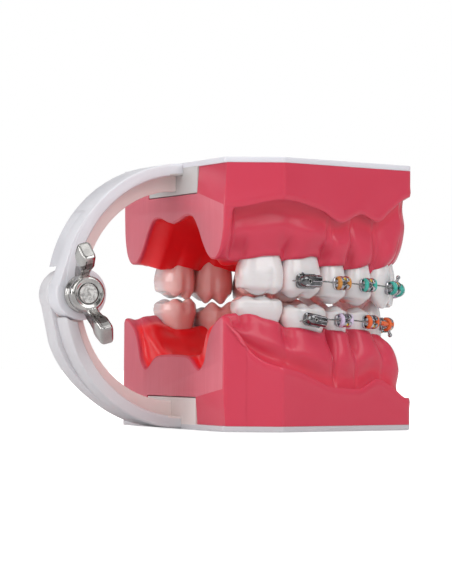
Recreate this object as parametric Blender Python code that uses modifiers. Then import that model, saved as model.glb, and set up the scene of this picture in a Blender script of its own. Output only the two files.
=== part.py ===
"""Typodont: an orthodontic practice model. Two resin gum blocks with removable teeth, fixed
appliances on both arches, and a plastic articulator frame whose two C-shaped half arms meet
in a lap joint behind the blocks, clamped by a bolt and a wing nut.

Frame: +Z up, patient's front towards -Y, patient's right towards -X, origin at the centre of
the underside of the lower base plate. Dimensions are millimetres; the mesh is metres.
Positions are given as (ahead, across, z): ahead is the distance in front of the rear faces of
the blocks, across the distance from the midline, positive to the patient's right.
"""

import math
from typing import NamedTuple

import bmesh
import bpy
from mathutils import Vector

MM = 0.001
REAR_Y = 26.0            # world Y of the rear faces of both blocks
HEIGHT = 53.0            # underside of the lower plate to the top of the upper plate
OCCLUSAL_Z = 26.5
PLATE = 1.1              # base plate thickness
GAP = 0.15               # clearance between pieces that sit against each other

# Block at the rear of each plate, let into a slot in the gum
BLOCK_HALF_WIDTH = 14.0
BLOCK_HEIGHT = 6.3
BLOCK_DEPTH = 6.0

HINGE_AHEAD = -21.0
HINGE_Z = 26.6
BORE_RADIUS = 2.25
FLANGE_HALF_WIDTH = 6.0  # of the articulator arms, which the bolt passes through


# ---------------------------------------------------------------- the two jaws
class Tooth(NamedTuple):
    name: str
    depth: float         # cheek side to tongue side
    bulge: float         # outwards past the line of contacts
    margin: float        # z of the gum margin
    cusp: float          # z of the cusps or biting edge
    lean: float          # of the root end towards the lip
    taper: float         # narrowing towards the tongue


class Jaw(NamedTuple):
    name: str
    up: int              # direction of the roots: +1 up, -1 down
    outline: tuple       # base of plate and block, (across, ahead), rear to front
    ridge: tuple         # (ahead on the outline, z) of the ridge above the base wall
    rear: tuple          # rear face of the gum, (across, z), outer corner to midline
    contacts: tuple      # between teeth, (ahead, across), rear of second molar to midline
    teeth: tuple
    wire_z: tuple        # archwire height, first molar to central incisor
    vault: tuple         # gum height on the midline: z at the rear, fall to the front, power


OUTLINE_SIDE = ((29.3, 0.0), (33.4, 10.8), (18.0, 44.3))

UPPER = Jaw(
    name="upper",
    up=1,
    outline=OUTLINE_SIDE + ((0.0, 51.0),),
    ridge=((0, 43.7), (1.3, 43.2), (10.8, 44.8), (20.6, 43.1), (25.8, 40.9), (31.1, 42.7),
           (35.5, 41.4), (39.3, 43.9), (44.3, 46.7), (51.0, 46.9)),
    rear=((29.3, 43.7), (29.2, 40.6), (28.3, 37.0), (26.5, 34.4), (24.6, 33.5), (22.6, 33.4),
          (20.6, 34.0), (18.0, 35.9), (15.8, 38.0), (13.8, 40.3), (10.6, 42.2), (6.4, 41.9),
          (0.0, 41.0)),
    contacts=((4.1, 25.3), (13.7, 25.7), (22.5, 23.6), (28.7, 21.7), (35.2, 19.6),
              (40.8, 14.4), (44.2, 8.3), (45.6, 0.0)),
    teeth=(
        Tooth("second_molar", 10.4, 1.2, 33.9, 26.55, 0.0, 0.16),
        Tooth("first_molar", 10.8, 1.3, 34.0, 25.75, 0.0, 0.18),
        Tooth("second_premolar", 9.0, 1.5, 32.4, 24.95, 0.0, 0.26),
        Tooth("first_premolar", 9.0, 1.6, 32.5, 24.75, 0.0, 0.28),
        Tooth("canine", 8.2, 1.8, 33.3, 24.35, 0.2, 0.52),
        Tooth("lateral_incisor", 6.2, 1.1, 33.0, 24.9, 0.2, 0.40),
        Tooth("central_incisor", 6.8, 1.0, 33.2, 24.7, 0.2, 0.34),
    ),
    wire_z=(29.3, 29.05, 28.8, 28.35, 28.15, 28.0),
    vault=(43.5, 3.0, 3),
)

LOWER = Jaw(
    name="lower",
    up=-1,
    outline=OUTLINE_SIDE + ((0.0, 52.5),),
    ridge=((0, 21.5), (2.8, 19.2), (5.0, 15.4), (8.4, 13.1), (15.3, 11.5), (24.8, 8.5),
           (30.6, 8.2), (35.8, 10.2), (39.8, 8.6), (44.1, 6.3), (52.5, 6.2)),
    rear=((29.3, 21.5), (29.0, 21.9), (28.3, 22.3), (27.0, 22.1), (25.4, 21.6), (23.6, 20.7),
          (21.8, 19.3), (20.2, 17.0), (18.6, 13.9), (17.0, 12.1), (13.5, 13.2), (8.5, 14.5),
          (0.0, 14.8)),
    contacts=((3.95, 24.3), (14.1, 24.4), (24.3, 22.3), (29.7, 20.3), (36.0, 17.0),
              (40.0, 11.0), (42.0, 5.7), (42.6, 0.0)),
    teeth=(
        Tooth("second_molar", 9.8, 1.1, 21.6, 26.35, 0.0, 0.14),
        Tooth("first_molar", 10.0, 1.2, 19.6, 25.25, 0.0, 0.16),
        Tooth("second_premolar", 8.2, 1.2, 19.1, 24.7, 0.1, 0.26),
        Tooth("first_premolar", 7.8, 1.3, 19.4, 24.5, 0.2, 0.32),
        Tooth("canine", 7.4, 1.2, 18.1, 24.9, 0.7, 0.50),
        Tooth("lateral_incisor", 5.8, 0.7, 18.2, 25.4, 0.9, 0.42),
        Tooth("central_incisor", 5.6, 0.6, 18.3, 25.5, 0.9, 0.38),
    ),
    wire_z=(21.9, 21.75, 21.55, 21.15, 20.95, 20.85),
    vault=(14.6, 1.0, 1),
)


# ---------------------------------------------------------------- scene and materials
for old in list(bpy.data.objects):
    bpy.data.objects.remove(old, do_unlink=True)


def new_collection(name, parent):
    collection = bpy.data.collections.new(name)
    parent.children.link(collection)
    return collection


PARTS = new_collection("typodont", bpy.context.scene.collection)
CUTTERS = new_collection("cutters", bpy.context.scene.collection)


class Look(NamedTuple):
    colour: tuple
    roughness: float
    metallic: float = 0.0


GUM = Look(colour=(0.62, 0.09, 0.12), roughness=0.38)
WHITE = Look(colour=(0.80, 0.79, 0.83), roughness=0.35)
ENAMEL = Look(colour=(0.83, 0.81, 0.80), roughness=0.28)
STEEL = Look(colour=(0.45, 0.45, 0.46), roughness=0.25, metallic=1.0)


def make_material(name, look):
    material = bpy.data.materials.new(name)
    material.use_nodes = True
    inputs = material.node_tree.nodes["Principled BSDF"].inputs
    inputs["Base Color"].default_value = (*look.colour, 1)
    inputs["Roughness"].default_value = look.roughness
    inputs["Metallic"].default_value = look.metallic
    return material


# ---------------------------------------------------------------- helpers
def point(ahead, across, z):
    """World position, in metres."""
    return Vector((-across, REAR_Y - ahead, z)) * MM


def plate_levels(jaw, near, far):
    """The z of two distances in from the jaw's outer plate face, lower one first."""
    return sorted(HEIGHT - depth if jaw.up > 0 else depth for depth in (near, far))


def mesh_object(name, bm, collection):
    bmesh.ops.recalc_face_normals(bm, faces=bm.faces)
    mesh = bpy.data.meshes.new(name)
    bm.to_mesh(mesh)
    bm.free()
    ob = bpy.data.objects.new(name, mesh)
    collection.objects.link(ob)
    return ob


def make_part(name, bm, look):
    ob = mesh_object(name, bm, PARTS)
    ob.data.materials.append(make_material(name, look))
    return ob


def make_cutter(name, bm, collection=CUTTERS):
    """A helper solid that is only used by boolean modifiers."""
    ob = mesh_object(name, bm, collection)
    ob.hide_render = True
    ob.display_type = "WIRE"
    return ob


def boolean(ob, operation, name, bm):
    """Make a helper solid and add it to the object or cut it away."""
    other = make_cutter(name, bm)
    modifier = ob.modifiers.new(f"{operation.lower()}_{name}", "BOOLEAN")
    modifier.object = other
    modifier.operation = operation
    modifier.solver = "EXACT"


def smooth_below(ob, degrees):
    ob.data.shade_smooth()
    ob.data.set_sharp_from_angle(angle=math.radians(degrees))


def interpolate(table, x):
    """Linear lookup in (x, y) pairs, held constant beyond both ends."""
    if x <= table[0][0]:
        return table[0][1]
    for (x0, y0), (x1, y1) in zip(table, table[1:]):
        if x <= x1:
            return y0 + (y1 - y0) * (x - x0) / (x1 - x0)
    return table[-1][1]


def signed_power(value, power):
    return math.copysign(abs(value) ** power, value)


def circle_directions(sides):
    """(cos, sin) at the middle of each of the equal parts of a turn."""
    angles = [2 * math.pi * (k + 0.5) / sides for k in range(sides)]
    return [(math.cos(angle), math.sin(angle)) for angle in angles]


def bridge(bm, first, second):
    """Faces between two closed rings of vertices."""
    for i in range(len(first)):
        j = (i + 1) % len(first)
        bm.faces.new((first[i], first[j], second[j], second[i]))


def join_rings(bm, rings):
    """Skin a stack of rings and cap its start; returns the rows of vertices."""
    rows = [[bm.verts.new(co) for co in ring] for ring in rings]
    for first, second in zip(rows, rows[1:]):
        bridge(bm, first, second)
    bm.faces.new(rows[0][::-1])
    return rows


def loft(rings):
    """A solid through a stack of rings, capped at both ends."""
    bm = bmesh.new()
    rows = join_rings(bm, rings)
    bm.faces.new(rows[-1])
    return bm


def prism(outline, across0, across1):
    """A solid from a side outline of (ahead, z) points."""
    return loft([[point(ahead, across, z) for ahead, z in outline]
                 for across in (across0, across1)])


def box(ahead0, ahead1, z0, z1, across0, across1):
    outline = [(ahead0, z0), (ahead1, z0), (ahead1, z1), (ahead0, z1)]
    return prism(outline, across0, across1)


def hinge_circle(radius, sides=28, turn=0.0):
    """Side outline of a circle about the hinge axis."""
    angles = [turn + 2 * math.pi * i / sides for i in range(sides)]
    return [(HINGE_AHEAD + radius * math.cos(angle), HINGE_Z + radius * math.sin(angle))
            for angle in angles]


def turned(profile, sides):
    """A solid of revolution on the hinge axis from (across, radius) points."""
    return loft([[point(ahead, across, z) for ahead, z in hinge_circle(radius, sides)]
                 for across, radius in profile])


# ---------------------------------------------------------------- teeth
class Station(NamedTuple):
    """Plan position of a tooth, with unit vectors along the arch and outwards."""
    centre: tuple
    mesial: tuple        # towards the midline along the arch
    outward: tuple       # to the cheek or lip
    width: float

    def plan(self, along, out):
        """(ahead, across) of an offset from the centre."""
        return tuple(c + m * along + o * out
                     for c, m, o in zip(self.centre, self.mesial, self.outward))


def tooth_station(jaw, i):
    (ahead0, across0), (ahead1, across1) = jaw.contacts[i], jaw.contacts[i + 1]
    width = math.hypot(ahead1 - ahead0, across1 - across0)
    mesial = ((ahead1 - ahead0) / width, (across1 - across0) / width)
    centre = ((ahead0 + ahead1) / 2, (across0 + across1) / 2)
    return Station(centre, mesial, (-mesial[1], mesial[0]), width)


def tooth_name(jaw, i, side):
    hand = "right" if side > 0 else "left"
    return f"{jaw.name}_{hand}_{jaw.teeth[i].name}"


TOOTH_SIDES = 10
TOOTH_GAP = 0.24         # between neighbouring teeth
SQUARENESS = 0.8         # power that rounds a tooth section; below 1 is squarer
TAPER_GAIN = 1.1
ROOT_DEPTH = 5.5
ROOT_SCALE = 0.42
SOCKET_EXTRA = 0.25      # socket depth past the root
CUSP_WAVE = 0.5
FOSSA = 0.9              # hollow in the middle of the chewing face
CANINE_DROP = 1.1        # from the canine's point to the ends of its edge
EDGE_SETBACK = 0.25

# Heights on a tooth are fractions of the crown: 0 at the gum margin, 1 at the cusps.
ROOT_FRACTION = -0.6     # where the lean is read for the root end
# (fraction, share of the tooth's lean)
LEAN = ((-0.6, 1.4), (-0.1, 1.0), (0.12, 0.85), (0.48, 0.45), (0.75, 0.15), (1.0, 0.0))
# (fraction, scale of the section)
CROWN_SCALE = ((-0.10, 0.80), (0.12, 0.90), (0.48, 1.0))


def lean_at(tooth, fraction):
    return tooth.lean * interpolate(LEAN, fraction)


def crown_z(jaw, tooth, fraction):
    return tooth.margin - jaw.up * abs(tooth.margin - tooth.cusp) * fraction


def tooth_ring(jaw, i, side, z, scale, grow=0.0, shift=0.0, wave=0.0):
    """One section of a tooth. wave times the root direction moves the mesial and distal
    ends towards the root, and the cheek and tongue sides towards the cusps."""
    tooth = jaw.teeth[i]
    station = tooth_station(jaw, i)
    half_width = (station.width - TOOTH_GAP) / 2 * scale + grow
    half_depth = tooth.depth / 2 * scale + grow
    ring = []
    for cos, sin in circle_directions(TOOTH_SIDES):
        outness = signed_power(sin, SQUARENESS)
        along = signed_power(cos, SQUARENESS) * half_width
        along *= 1 - tooth.taper * (1 - outness) / 2 * TAPER_GAIN
        out = tooth.bulge - tooth.depth / 2 + half_depth * outness + shift
        ahead, across = station.plan(along, out)
        lift = jaw.up * wave * (abs(cos) ** 0.5 - 0.55)
        ring.append(point(ahead, across * side, z + lift))
    return ring


def body_rings(jaw, i, side, grow=0.0, extra_depth=0.0):
    """Root end to the widest part of the crown."""
    tooth = jaw.teeth[i]
    root_z = tooth.margin + jaw.up * (ROOT_DEPTH + extra_depth)
    rings = [tooth_ring(jaw, i, side, root_z, ROOT_SCALE, grow, lean_at(tooth, ROOT_FRACTION))]
    for fraction, scale in CROWN_SCALE:
        z = crown_z(jaw, tooth, fraction)
        rings.append(tooth_ring(jaw, i, side, z, scale, grow, lean_at(tooth, fraction)))
    return rings


def front_crown_rings(jaw, i, side):
    """Canine or incisor crown, closing to an edge set towards the lip."""
    tooth = jaw.teeth[i]
    station = tooth_station(jaw, i)
    is_canine = tooth.name == "canine"
    edge_width, edge_drop = (0.62, CANINE_DROP) if is_canine else (0.88, 0.0)
    # fraction, width and depth as shares of the tooth's, set back from the lip, drop at ends
    sections = ((0.75, 0.97, 0.62, 0.0, 0.0), (1.0, edge_width, 0.24, EDGE_SETBACK, edge_drop))
    rings = []
    for fraction, width_share, depth_share, setback, drop in sections:
        half_width = (station.width - TOOTH_GAP) / 2 * width_share
        half_depth = tooth.depth * depth_share / 2
        middle = tooth.bulge - half_depth - setback + lean_at(tooth, fraction)
        ring = []
        for cos, sin in circle_directions(TOOTH_SIDES):
            ahead, across = station.plan(signed_power(cos, SQUARENESS) * half_width,
                                         middle + half_depth * signed_power(sin, SQUARENESS))
            z = crown_z(jaw, tooth, fraction) + jaw.up * drop * abs(cos) ** 1.5
            ring.append(point(ahead, across * side, z))
        rings.append(ring)
    return rings


def back_crown_rings(jaw, i, side):
    """Molar or premolar crown, closing in to a chewing face."""
    tooth = jaw.teeth[i]
    wave = 0.0 if tooth.name == "second_premolar" else CUSP_WAVE
    return [tooth_ring(jaw, i, side, crown_z(jaw, tooth, 0.86), 0.93),
            tooth_ring(jaw, i, side, crown_z(jaw, tooth, 0.95), 0.66, wave=wave)]


def make_tooth(jaw, i, side):
    is_back = "molar" in jaw.teeth[i].name
    crown_rings = back_crown_rings if is_back else front_crown_rings
    bm = bmesh.new()
    last = join_rings(bm, body_rings(jaw, i, side) + crown_rings(jaw, i, side))[-1]
    middle = sum((v.co for v in last), Vector()) / TOOTH_SIDES
    if is_back:
        middle.z += jaw.up * FOSSA * MM
    tip = bm.verts.new(middle)
    for k in range(TOOTH_SIDES):
        bm.faces.new((last[k], last[(k + 1) % TOOTH_SIDES], tip))
    ob = make_part(tooth_name(jaw, i, side), bm, ENAMEL)
    ob.data.shade_smooth()


def make_socket(jaw, i, side, collection):
    rings = body_rings(jaw, i, side, grow=GAP, extra_depth=SOCKET_EXTRA)
    make_cutter(f"socket_{tooth_name(jaw, i, side)}", loft(rings), collection)


# ---------------------------------------------------------------- gum blocks
PLATE_CLEARANCE = 0.1    # gum base to plate
SLOT_CLEARANCE = 0.2     # around the rear block, in plan
FRONTAL_AHEAD = 46.0     # where the vault has its full fall
CONTACT_GROOVE = 0.8     # hollow in the outer gum between teeth
PAPILLA = 0.9            # rise of the gum between teeth
CONTACT_DEPTH = 0.92     # depth between teeth as a share of the teeth's mean
# Where each gum profile after the rear face meets the midline, ahead
MIDLINE_AHEAD = (3.5, 8.0, 11.5, 14.5, 17.0, 19.5, 21.5, 23.0, 24.2, 25.2, 26.0, 26.6, 27.1,
                 27.5, 27.8)
# Tongue-side slope: (share of the way to the midline, share of the rise to the vault)
VAULT_SLOPE = ((0.12, 0.22), (0.26, 0.55), (0.42, 0.80), (0.60, 0.94))


class GumStation(NamedTuple):
    centre: tuple
    outward: tuple
    bulge: float
    margin: float
    depth: float
    papilla: float = 0.0
    groove: float = 0.0


def outline_hit(outline, start, direction):
    """Where a ray from start, in (ahead, across), leaves the base outline."""
    (ahead, across), (step_ahead, step_across) = start, direction
    hits = []
    for (across0, ahead0), (across1, ahead1) in zip(outline, outline[1:]):
        edge_ahead, edge_across = ahead1 - ahead0, across1 - across0
        cross = step_ahead * edge_across - step_across * edge_ahead
        if abs(cross) < 1e-9:
            continue
        reach = ((ahead0 - ahead) * edge_across - (across0 - across) * edge_ahead) / cross
        share = ((ahead0 - ahead) * step_across - (across0 - across) * step_ahead) / cross
        if reach > 0 and -1e-6 <= share <= 1 + 1e-6:
            hits.append(reach)
    nearest = min(hits)
    return ahead + step_ahead * nearest, across + step_across * nearest


def gum_at_tooth(jaw, i):
    station, tooth = tooth_station(jaw, i), jaw.teeth[i]
    return GumStation(station.centre, station.outward, tooth.bulge, tooth.margin, tooth.depth)


def gum_at_contact(jaw, i):
    """Gum between two teeth; the end contacts use their single tooth twice."""
    before, after = max(i - 1, 0), min(i, len(jaw.teeth) - 1)
    out0, out1 = tooth_station(jaw, before).outward, tooth_station(jaw, after).outward
    outward = (out0[0] + out1[0], out0[1] + out1[1])
    if i == len(jaw.contacts) - 1:
        outward = (1.0, 0.0)
    length = math.hypot(*outward)
    first, second = jaw.teeth[before], jaw.teeth[after]
    return GumStation(
        centre=jaw.contacts[i],
        outward=(outward[0] / length, outward[1] / length),
        bulge=(first.bulge + second.bulge) / 2,
        margin=(first.margin + second.margin) / 2,
        depth=(first.depth + second.depth) / 2 * CONTACT_DEPTH,
        papilla=PAPILLA,
        groove=CONTACT_GROOVE)


def gum_profile(jaw, station, base_z, mid_ahead):
    """(ahead, across, z) from the base edge over the gum to the midline."""
    (ahead, across), outward, bulge, margin, depth, papilla, groove = station
    up = jaw.up
    wall_ahead, wall_across = outline_hit(jaw.outline, (ahead, max(across, 1e-6)), outward)
    if across == 0:
        wall_across = 0.0
    reach = math.hypot(wall_ahead - ahead, wall_across - across)
    ridge_z = interpolate(jaw.ridge, wall_ahead)
    body = abs(ridge_z - margin)
    tip_z = margin - up * papilla
    edge = bulge - groove * 1.3

    inner = depth - bulge + 0.1
    inner_ahead, inner_across = ahead - outward[0] * inner, across - outward[1] * inner
    inner_z = tip_z + up * 0.3
    vault_rear, vault_fall, vault_power = jaw.vault
    vault_z = vault_rear - vault_fall * min(1.0, ahead / FRONTAL_AHEAD) ** vault_power
    rise = vault_z - inner_z

    def outwards(distance, z):
        return ahead + outward[0] * distance, across + outward[1] * distance, z

    def to_midline(share, z):
        return inner_ahead + (mid_ahead - inner_ahead) * share, inner_across * (1 - share), z

    return [
        (wall_ahead, wall_across, base_z),
        # ridge and vestibule
        outwards(reach - 0.25, ridge_z),
        outwards(max(reach - 1.5, (reach + bulge) / 2), ridge_z + up * 0.6),
        outwards(bulge + 0.9 - groove * 0.4, margin + up * body * 0.55),
        # outer margin, under the teeth, inner margin
        outwards(edge + 0.75, tip_z + up * 1.0),
        outwards(edge + 0.15, tip_z),
        outwards(-depth * 0.35, tip_z + up * 0.2),
        outwards(-depth + bulge - 0.35, inner_z),
        *(to_midline(share, inner_z + rise * rise_share) for share, rise_share in VAULT_SLOPE),
        to_midline(0.80, vault_z - up * 0.1),
        (mid_ahead, 0.0, vault_z),
    ]


def gum_profiles(jaw):
    """The rear face, then a profile at every contact and tooth up to the midline."""
    base_z = plate_levels(jaw, PLATE + PLATE_CLEARANCE, PLATE + PLATE_CLEARANCE)[0]
    corner_across, corner_ahead = jaw.outline[0]
    rows = [[(corner_ahead, corner_across, base_z)] + [(0.0, across, z) for across, z in jaw.rear]]
    for k, mid_ahead in enumerate(MIDLINE_AHEAD):
        i, at_tooth = divmod(k, 2)
        station = gum_at_tooth(jaw, i) if at_tooth else gum_at_contact(jaw, i)
        rows.append(gum_profile(jaw, station, base_z, mid_ahead))
    return rows


def gum_half(jaw):
    """The patient's right half of a block, open on the midline and closed by a mirror."""
    bm = bmesh.new()
    rows = [[bm.verts.new(point(*position)) for position in row] for row in gum_profiles(jaw)]
    # the last strip closes to a point on the midline
    bm.verts.remove(rows[-1].pop())
    rows[-1].append(rows[-2][-1])
    corner = bm.verts.new(rows[0][-1].co)
    corner.co.z = rows[0][0].co.z
    for row0, row1 in zip(rows, rows[1:]):
        for j in range(len(row0) - 1):
            corners = (row0[j], row0[j + 1], row1[j + 1], row1[j])
            bm.faces.new(list(dict.fromkeys(corners)))    # without the repeated vertex
    bm.faces.new([corner] + rows[0])
    bm.faces.new([corner] + [row[0] for row in rows])
    for v in rows[-1] + [row[-1] for row in rows]:
        v.co.x = 0.0
    return bm


def make_gum(jaw, sockets):
    ob = make_part(f"{jaw.name}_gum_block", gum_half(jaw), GUM)
    smooth_below(ob, 40)
    mirror = ob.modifiers.new("mirror", "MIRROR")
    mirror.use_axis = (True, False, False)
    mirror.merge_threshold = 0.00005
    # slot for the rear block of the frame, cut past the base and rear faces
    half_width = BLOCK_HALF_WIDTH + SLOT_CLEARANCE
    boolean(ob, "DIFFERENCE", f"slot_{jaw.name}",
            box(-2, BLOCK_DEPTH + SLOT_CLEARANCE, *plate_levels(jaw, -1, BLOCK_HEIGHT + GAP),
                -half_width, half_width))
    holes = ob.modifiers.new("sockets", "BOOLEAN")
    holes.operand_type = "COLLECTION"
    holes.collection = sockets
    holes.solver = "EXACT"


# ---------------------------------------------------------------- frame: plate, block, arm
# Each arm is a half ellipse seen from the side, flange outside and web inside.
ARM_REACH = 24.6         # semi-axis to the rear
ARM_RISE = 26.4          # semi-axis up or down from the occlusal plane
ARM_START = -2.5         # degrees past the vertical
ARM_STEPS = 18
FLANGE_THICKNESS = 2.4
FLANGE_INSET = 0.02
FLANGE_END = 92          # degrees past the vertical
WEB_HALF_WIDTH = 1.0
WEB_DEPTH = 3.0
WEB_OFFSET = 0.9         # towards the arm's own lobe
WEB_OVERLAP = 0.3        # into the flange
WEB_END = 84
BLOCK_INSET = 0.3        # block below the outer plate face
BLOCK_REAR = 0.01
LOBE_RADIUS = 5.2
LOBE_START = 0.12        # lobe's flat face from the midline
LOBE_INSET = 0.15        # lobe within the side of the flange
RELIEF_CLEARANCE = 0.45  # around the other arm's lobe
RELIEF_OVERLAP = 0.1     # past the midline
RELIEF_OVERRUN = 1       # past the side of the flange
TRIM_REACH = 8


def arm_outline(jaw, outer_inset, inner_inset, end_angle):
    """Strip between two offsets of the half ellipse."""
    def edge(inset):
        points = []
        for k in range(ARM_STEPS + 1):
            angle = math.radians(ARM_START + (end_angle - ARM_START) * k / ARM_STEPS)
            ahead = -(ARM_REACH - inset) * math.sin(angle)
            rise = (ARM_RISE - inset) * math.cos(angle)
            points.append((ahead, OCCLUSAL_Z + jaw.up * rise))
        return points
    return edge(outer_inset) + edge(inner_inset)[::-1]


def plate_solid(jaw):
    right = list(jaw.outline)
    left = [(-across, ahead) for across, ahead in right[-2::-1]]
    return loft([[point(ahead, across, z) for across, ahead in right + left]
                 for z in plate_levels(jaw, 0.0, PLATE)])


def make_frame(jaw):
    side = jaw.up        # side of the midline that carries this arm's lobe
    name = f"{jaw.name}_frame"
    ob = make_part(name, plate_solid(jaw), WHITE)
    block = box(BLOCK_REAR, BLOCK_DEPTH, *plate_levels(jaw, BLOCK_INSET, BLOCK_HEIGHT),
                -BLOCK_HALF_WIDTH, BLOCK_HALF_WIDTH)
    flange = prism(arm_outline(jaw, FLANGE_INSET, FLANGE_THICKNESS, FLANGE_END),
                   -FLANGE_HALF_WIDTH, FLANGE_HALF_WIDTH)
    web = prism(arm_outline(jaw, FLANGE_THICKNESS - WEB_OVERLAP, FLANGE_THICKNESS + WEB_DEPTH,
                            WEB_END),
                side * WEB_OFFSET - WEB_HALF_WIDTH, side * WEB_OFFSET + WEB_HALF_WIDTH)
    for k, bm in enumerate((block, flange, web)):
        boolean(ob, "UNION", f"{name}_solid_{k}", bm)

    # make room on the other side for the other arm's lobe and arm end
    other = sorted((side * RELIEF_OVERLAP, -side * (FLANGE_HALF_WIDTH + RELIEF_OVERRUN)))
    boolean(ob, "DIFFERENCE", f"{name}_relief",
            prism(hinge_circle(LOBE_RADIUS + RELIEF_CLEARANCE), *other))
    past_hinge = sorted((HINGE_Z, HINGE_Z - jaw.up * TRIM_REACH))
    boolean(ob, "DIFFERENCE", f"{name}_trim",
            box(HINGE_AHEAD - TRIM_REACH, HINGE_AHEAD + TRIM_REACH, *past_hinge, *other))

    lobe = sorted((side * LOBE_START, side * (FLANGE_HALF_WIDTH - LOBE_INSET)))
    boolean(ob, "UNION", f"{name}_lobe", prism(hinge_circle(LOBE_RADIUS, turn=0.05), *lobe))
    boolean(ob, "DIFFERENCE", f"{name}_bore", prism(hinge_circle(BORE_RADIUS, 20), -9, 9))


# ---------------------------------------------------------------- bolt and wing nut
BOLT_RADIUS = 2.0
BOLT_END = 10.2
BOLT_CHAMFER = 0.4
HEAD_RADIUS = 3.6
HEAD_FACE_RADIUS = 2.9
HEAD_END = -FLANGE_HALF_WIDTH - 3.0
HEAD_SEAT = -FLANGE_HALF_WIDTH - GAP
NUT_SEAT = FLANGE_HALF_WIDTH + GAP
NUT_RADIUS = 4.5
NUT_TOP_RADIUS = 2.95
NUT_HEIGHT = 4.3
WING_THICKNESS = 2.4
WING_TILT = 105          # degrees from straight ahead towards +Z
# Wing outline, (distance from the hinge axis, height above the nut's seat)
WING = ((2.5, 0.5), (4.3, 0.8), (5.2, 1.6), (9.7, 7.0), (10.0, 8.2), (9.3, 9.7), (7.5, 10.4),
        (6.1, 9.9), (4.5, 6.1), (2.6, 3.8))


def make_bolt():
    profile = ((HEAD_END, HEAD_FACE_RADIUS), (HEAD_END + 0.6, HEAD_RADIUS),
               (HEAD_SEAT, HEAD_RADIUS), (HEAD_SEAT, BOLT_RADIUS),
               (BOLT_END - BOLT_CHAMFER, BOLT_RADIUS), (BOLT_END, BOLT_RADIUS - BOLT_CHAMFER))
    make_part("hinge_bolt", turned(profile, 16), STEEL)


def wing_solid(direction):
    """A wing of the nut; direction is +1 or -1 along the tilted line of the wings."""
    tilt = math.radians(WING_TILT)
    cos, sin = math.cos(tilt), math.sin(tilt)
    return loft([[point(HINGE_AHEAD + direction * cos * radius - sin * offset,
                        NUT_SEAT + height,
                        HINGE_Z + direction * sin * radius + cos * offset)
                  for radius, height in WING]
                 for offset in (-WING_THICKNESS / 2, WING_THICKNESS / 2)])


def make_nut():
    hub = ((NUT_SEAT, NUT_RADIUS - 0.3), (NUT_SEAT + 0.5, NUT_RADIUS),
           (NUT_SEAT + NUT_HEIGHT - 0.4, NUT_TOP_RADIUS + 0.3),
           (NUT_SEAT + NUT_HEIGHT, NUT_TOP_RADIUS))
    ob = make_part("wing_nut", turned(hub, 18), STEEL)
    smooth_below(ob, 35)
    boolean(ob, "UNION", "wing_a", wing_solid(1))
    boolean(ob, "UNION", "wing_b", wing_solid(-1))
    boolean(ob, "DIFFERENCE", "nut_bore",
            prism(hinge_circle(BORE_RADIUS, 20), NUT_SEAT - 1, NUT_SEAT + 12))


# ---------------------------------------------------------------- fixed appliances
FIRST_MOLAR = 1          # index of the tooth that carries the tube
STANDOFF = 1.75          # archwire centre in front of the tooth surface
FITTING_BACK = -STANDOFF + 0.22    # back of brackets and tubes, from the wire centre
BRACKET_WIDTH, BRACKET_HEIGHT, BRACKET_DEPTH = 3.2, 2.9, 2.5
BRACKET_WAIST = 0.62     # height between base and wings, as a share
BRACKET_LIP = 0.8        # height at the face, as a share
SLOT_HALF = 0.38
TUBE_WIDTH, TUBE_HEIGHT, TUBE_DEPTH = 5.3, 3.1, 2.6
TUBE_HOLE_RADIUS = 0.42
TUBE_SIDES = 10
TUBE_SQUARENESS = 0.6
WIRE_DIAMETER = 0.46
WIRE_OVERRUN = 0.1       # straight wire past each bracket or tube
WIRE_END = 0.9           # wire past the rear end of the tube


def surface_out(tooth, z):
    """Furthest outward position of the crown over a bracket's height around z."""
    reach = BRACKET_HEIGHT / 2
    positions = []
    for offset in (-reach, 0.0, reach):
        fraction = abs(z + offset - tooth.margin) / abs(tooth.cusp - tooth.margin)
        scale = interpolate(CROWN_SCALE, fraction)
        positions.append(tooth.bulge + tooth.depth / 2 * (scale - 1) + lean_at(tooth, fraction))
    return max(positions)


def wire_station(jaw, i):
    """Station with its centre on the archwire, and the wire's height there."""
    station, z = tooth_station(jaw, i), jaw.wire_z[i - FIRST_MOLAR]
    centre = station.plan(0.0, surface_out(jaw.teeth[i], z) + STANDOFF)
    return station._replace(centre=centre), z


def fitting_ring(jaw, i, side, along, profile):
    """A profile of (outward, height) points about the wire centre, placed along the arch."""
    station, z = wire_station(jaw, i)
    ring = []
    for out, height in profile:
        ahead, across = station.plan(along, out)
        ring.append(point(ahead, across * side, z + height))
    return ring


def make_bracket(jaw, i, side):
    half = BRACKET_HEIGHT / 2
    back, face = FITTING_BACK, FITTING_BACK + BRACKET_DEPTH
    waist = half * BRACKET_WAIST
    lower = [(back, -half), (back + 0.5, -half), (back + 0.7, -waist), (face - 1.0, -waist),
             (face - 0.7, -half), (face, -half * BRACKET_LIP), (face, -SLOT_HALF),
             (-SLOT_HALF, -SLOT_HALF)]
    profile = lower + [(out, -height) for out, height in lower[::-1]]
    rings = [fitting_ring(jaw, i, side, along, profile)
             for along in (-BRACKET_WIDTH / 2, BRACKET_WIDTH / 2)]
    make_part(f"{tooth_name(jaw, i, side)}_bracket", loft(rings), STEEL)


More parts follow.
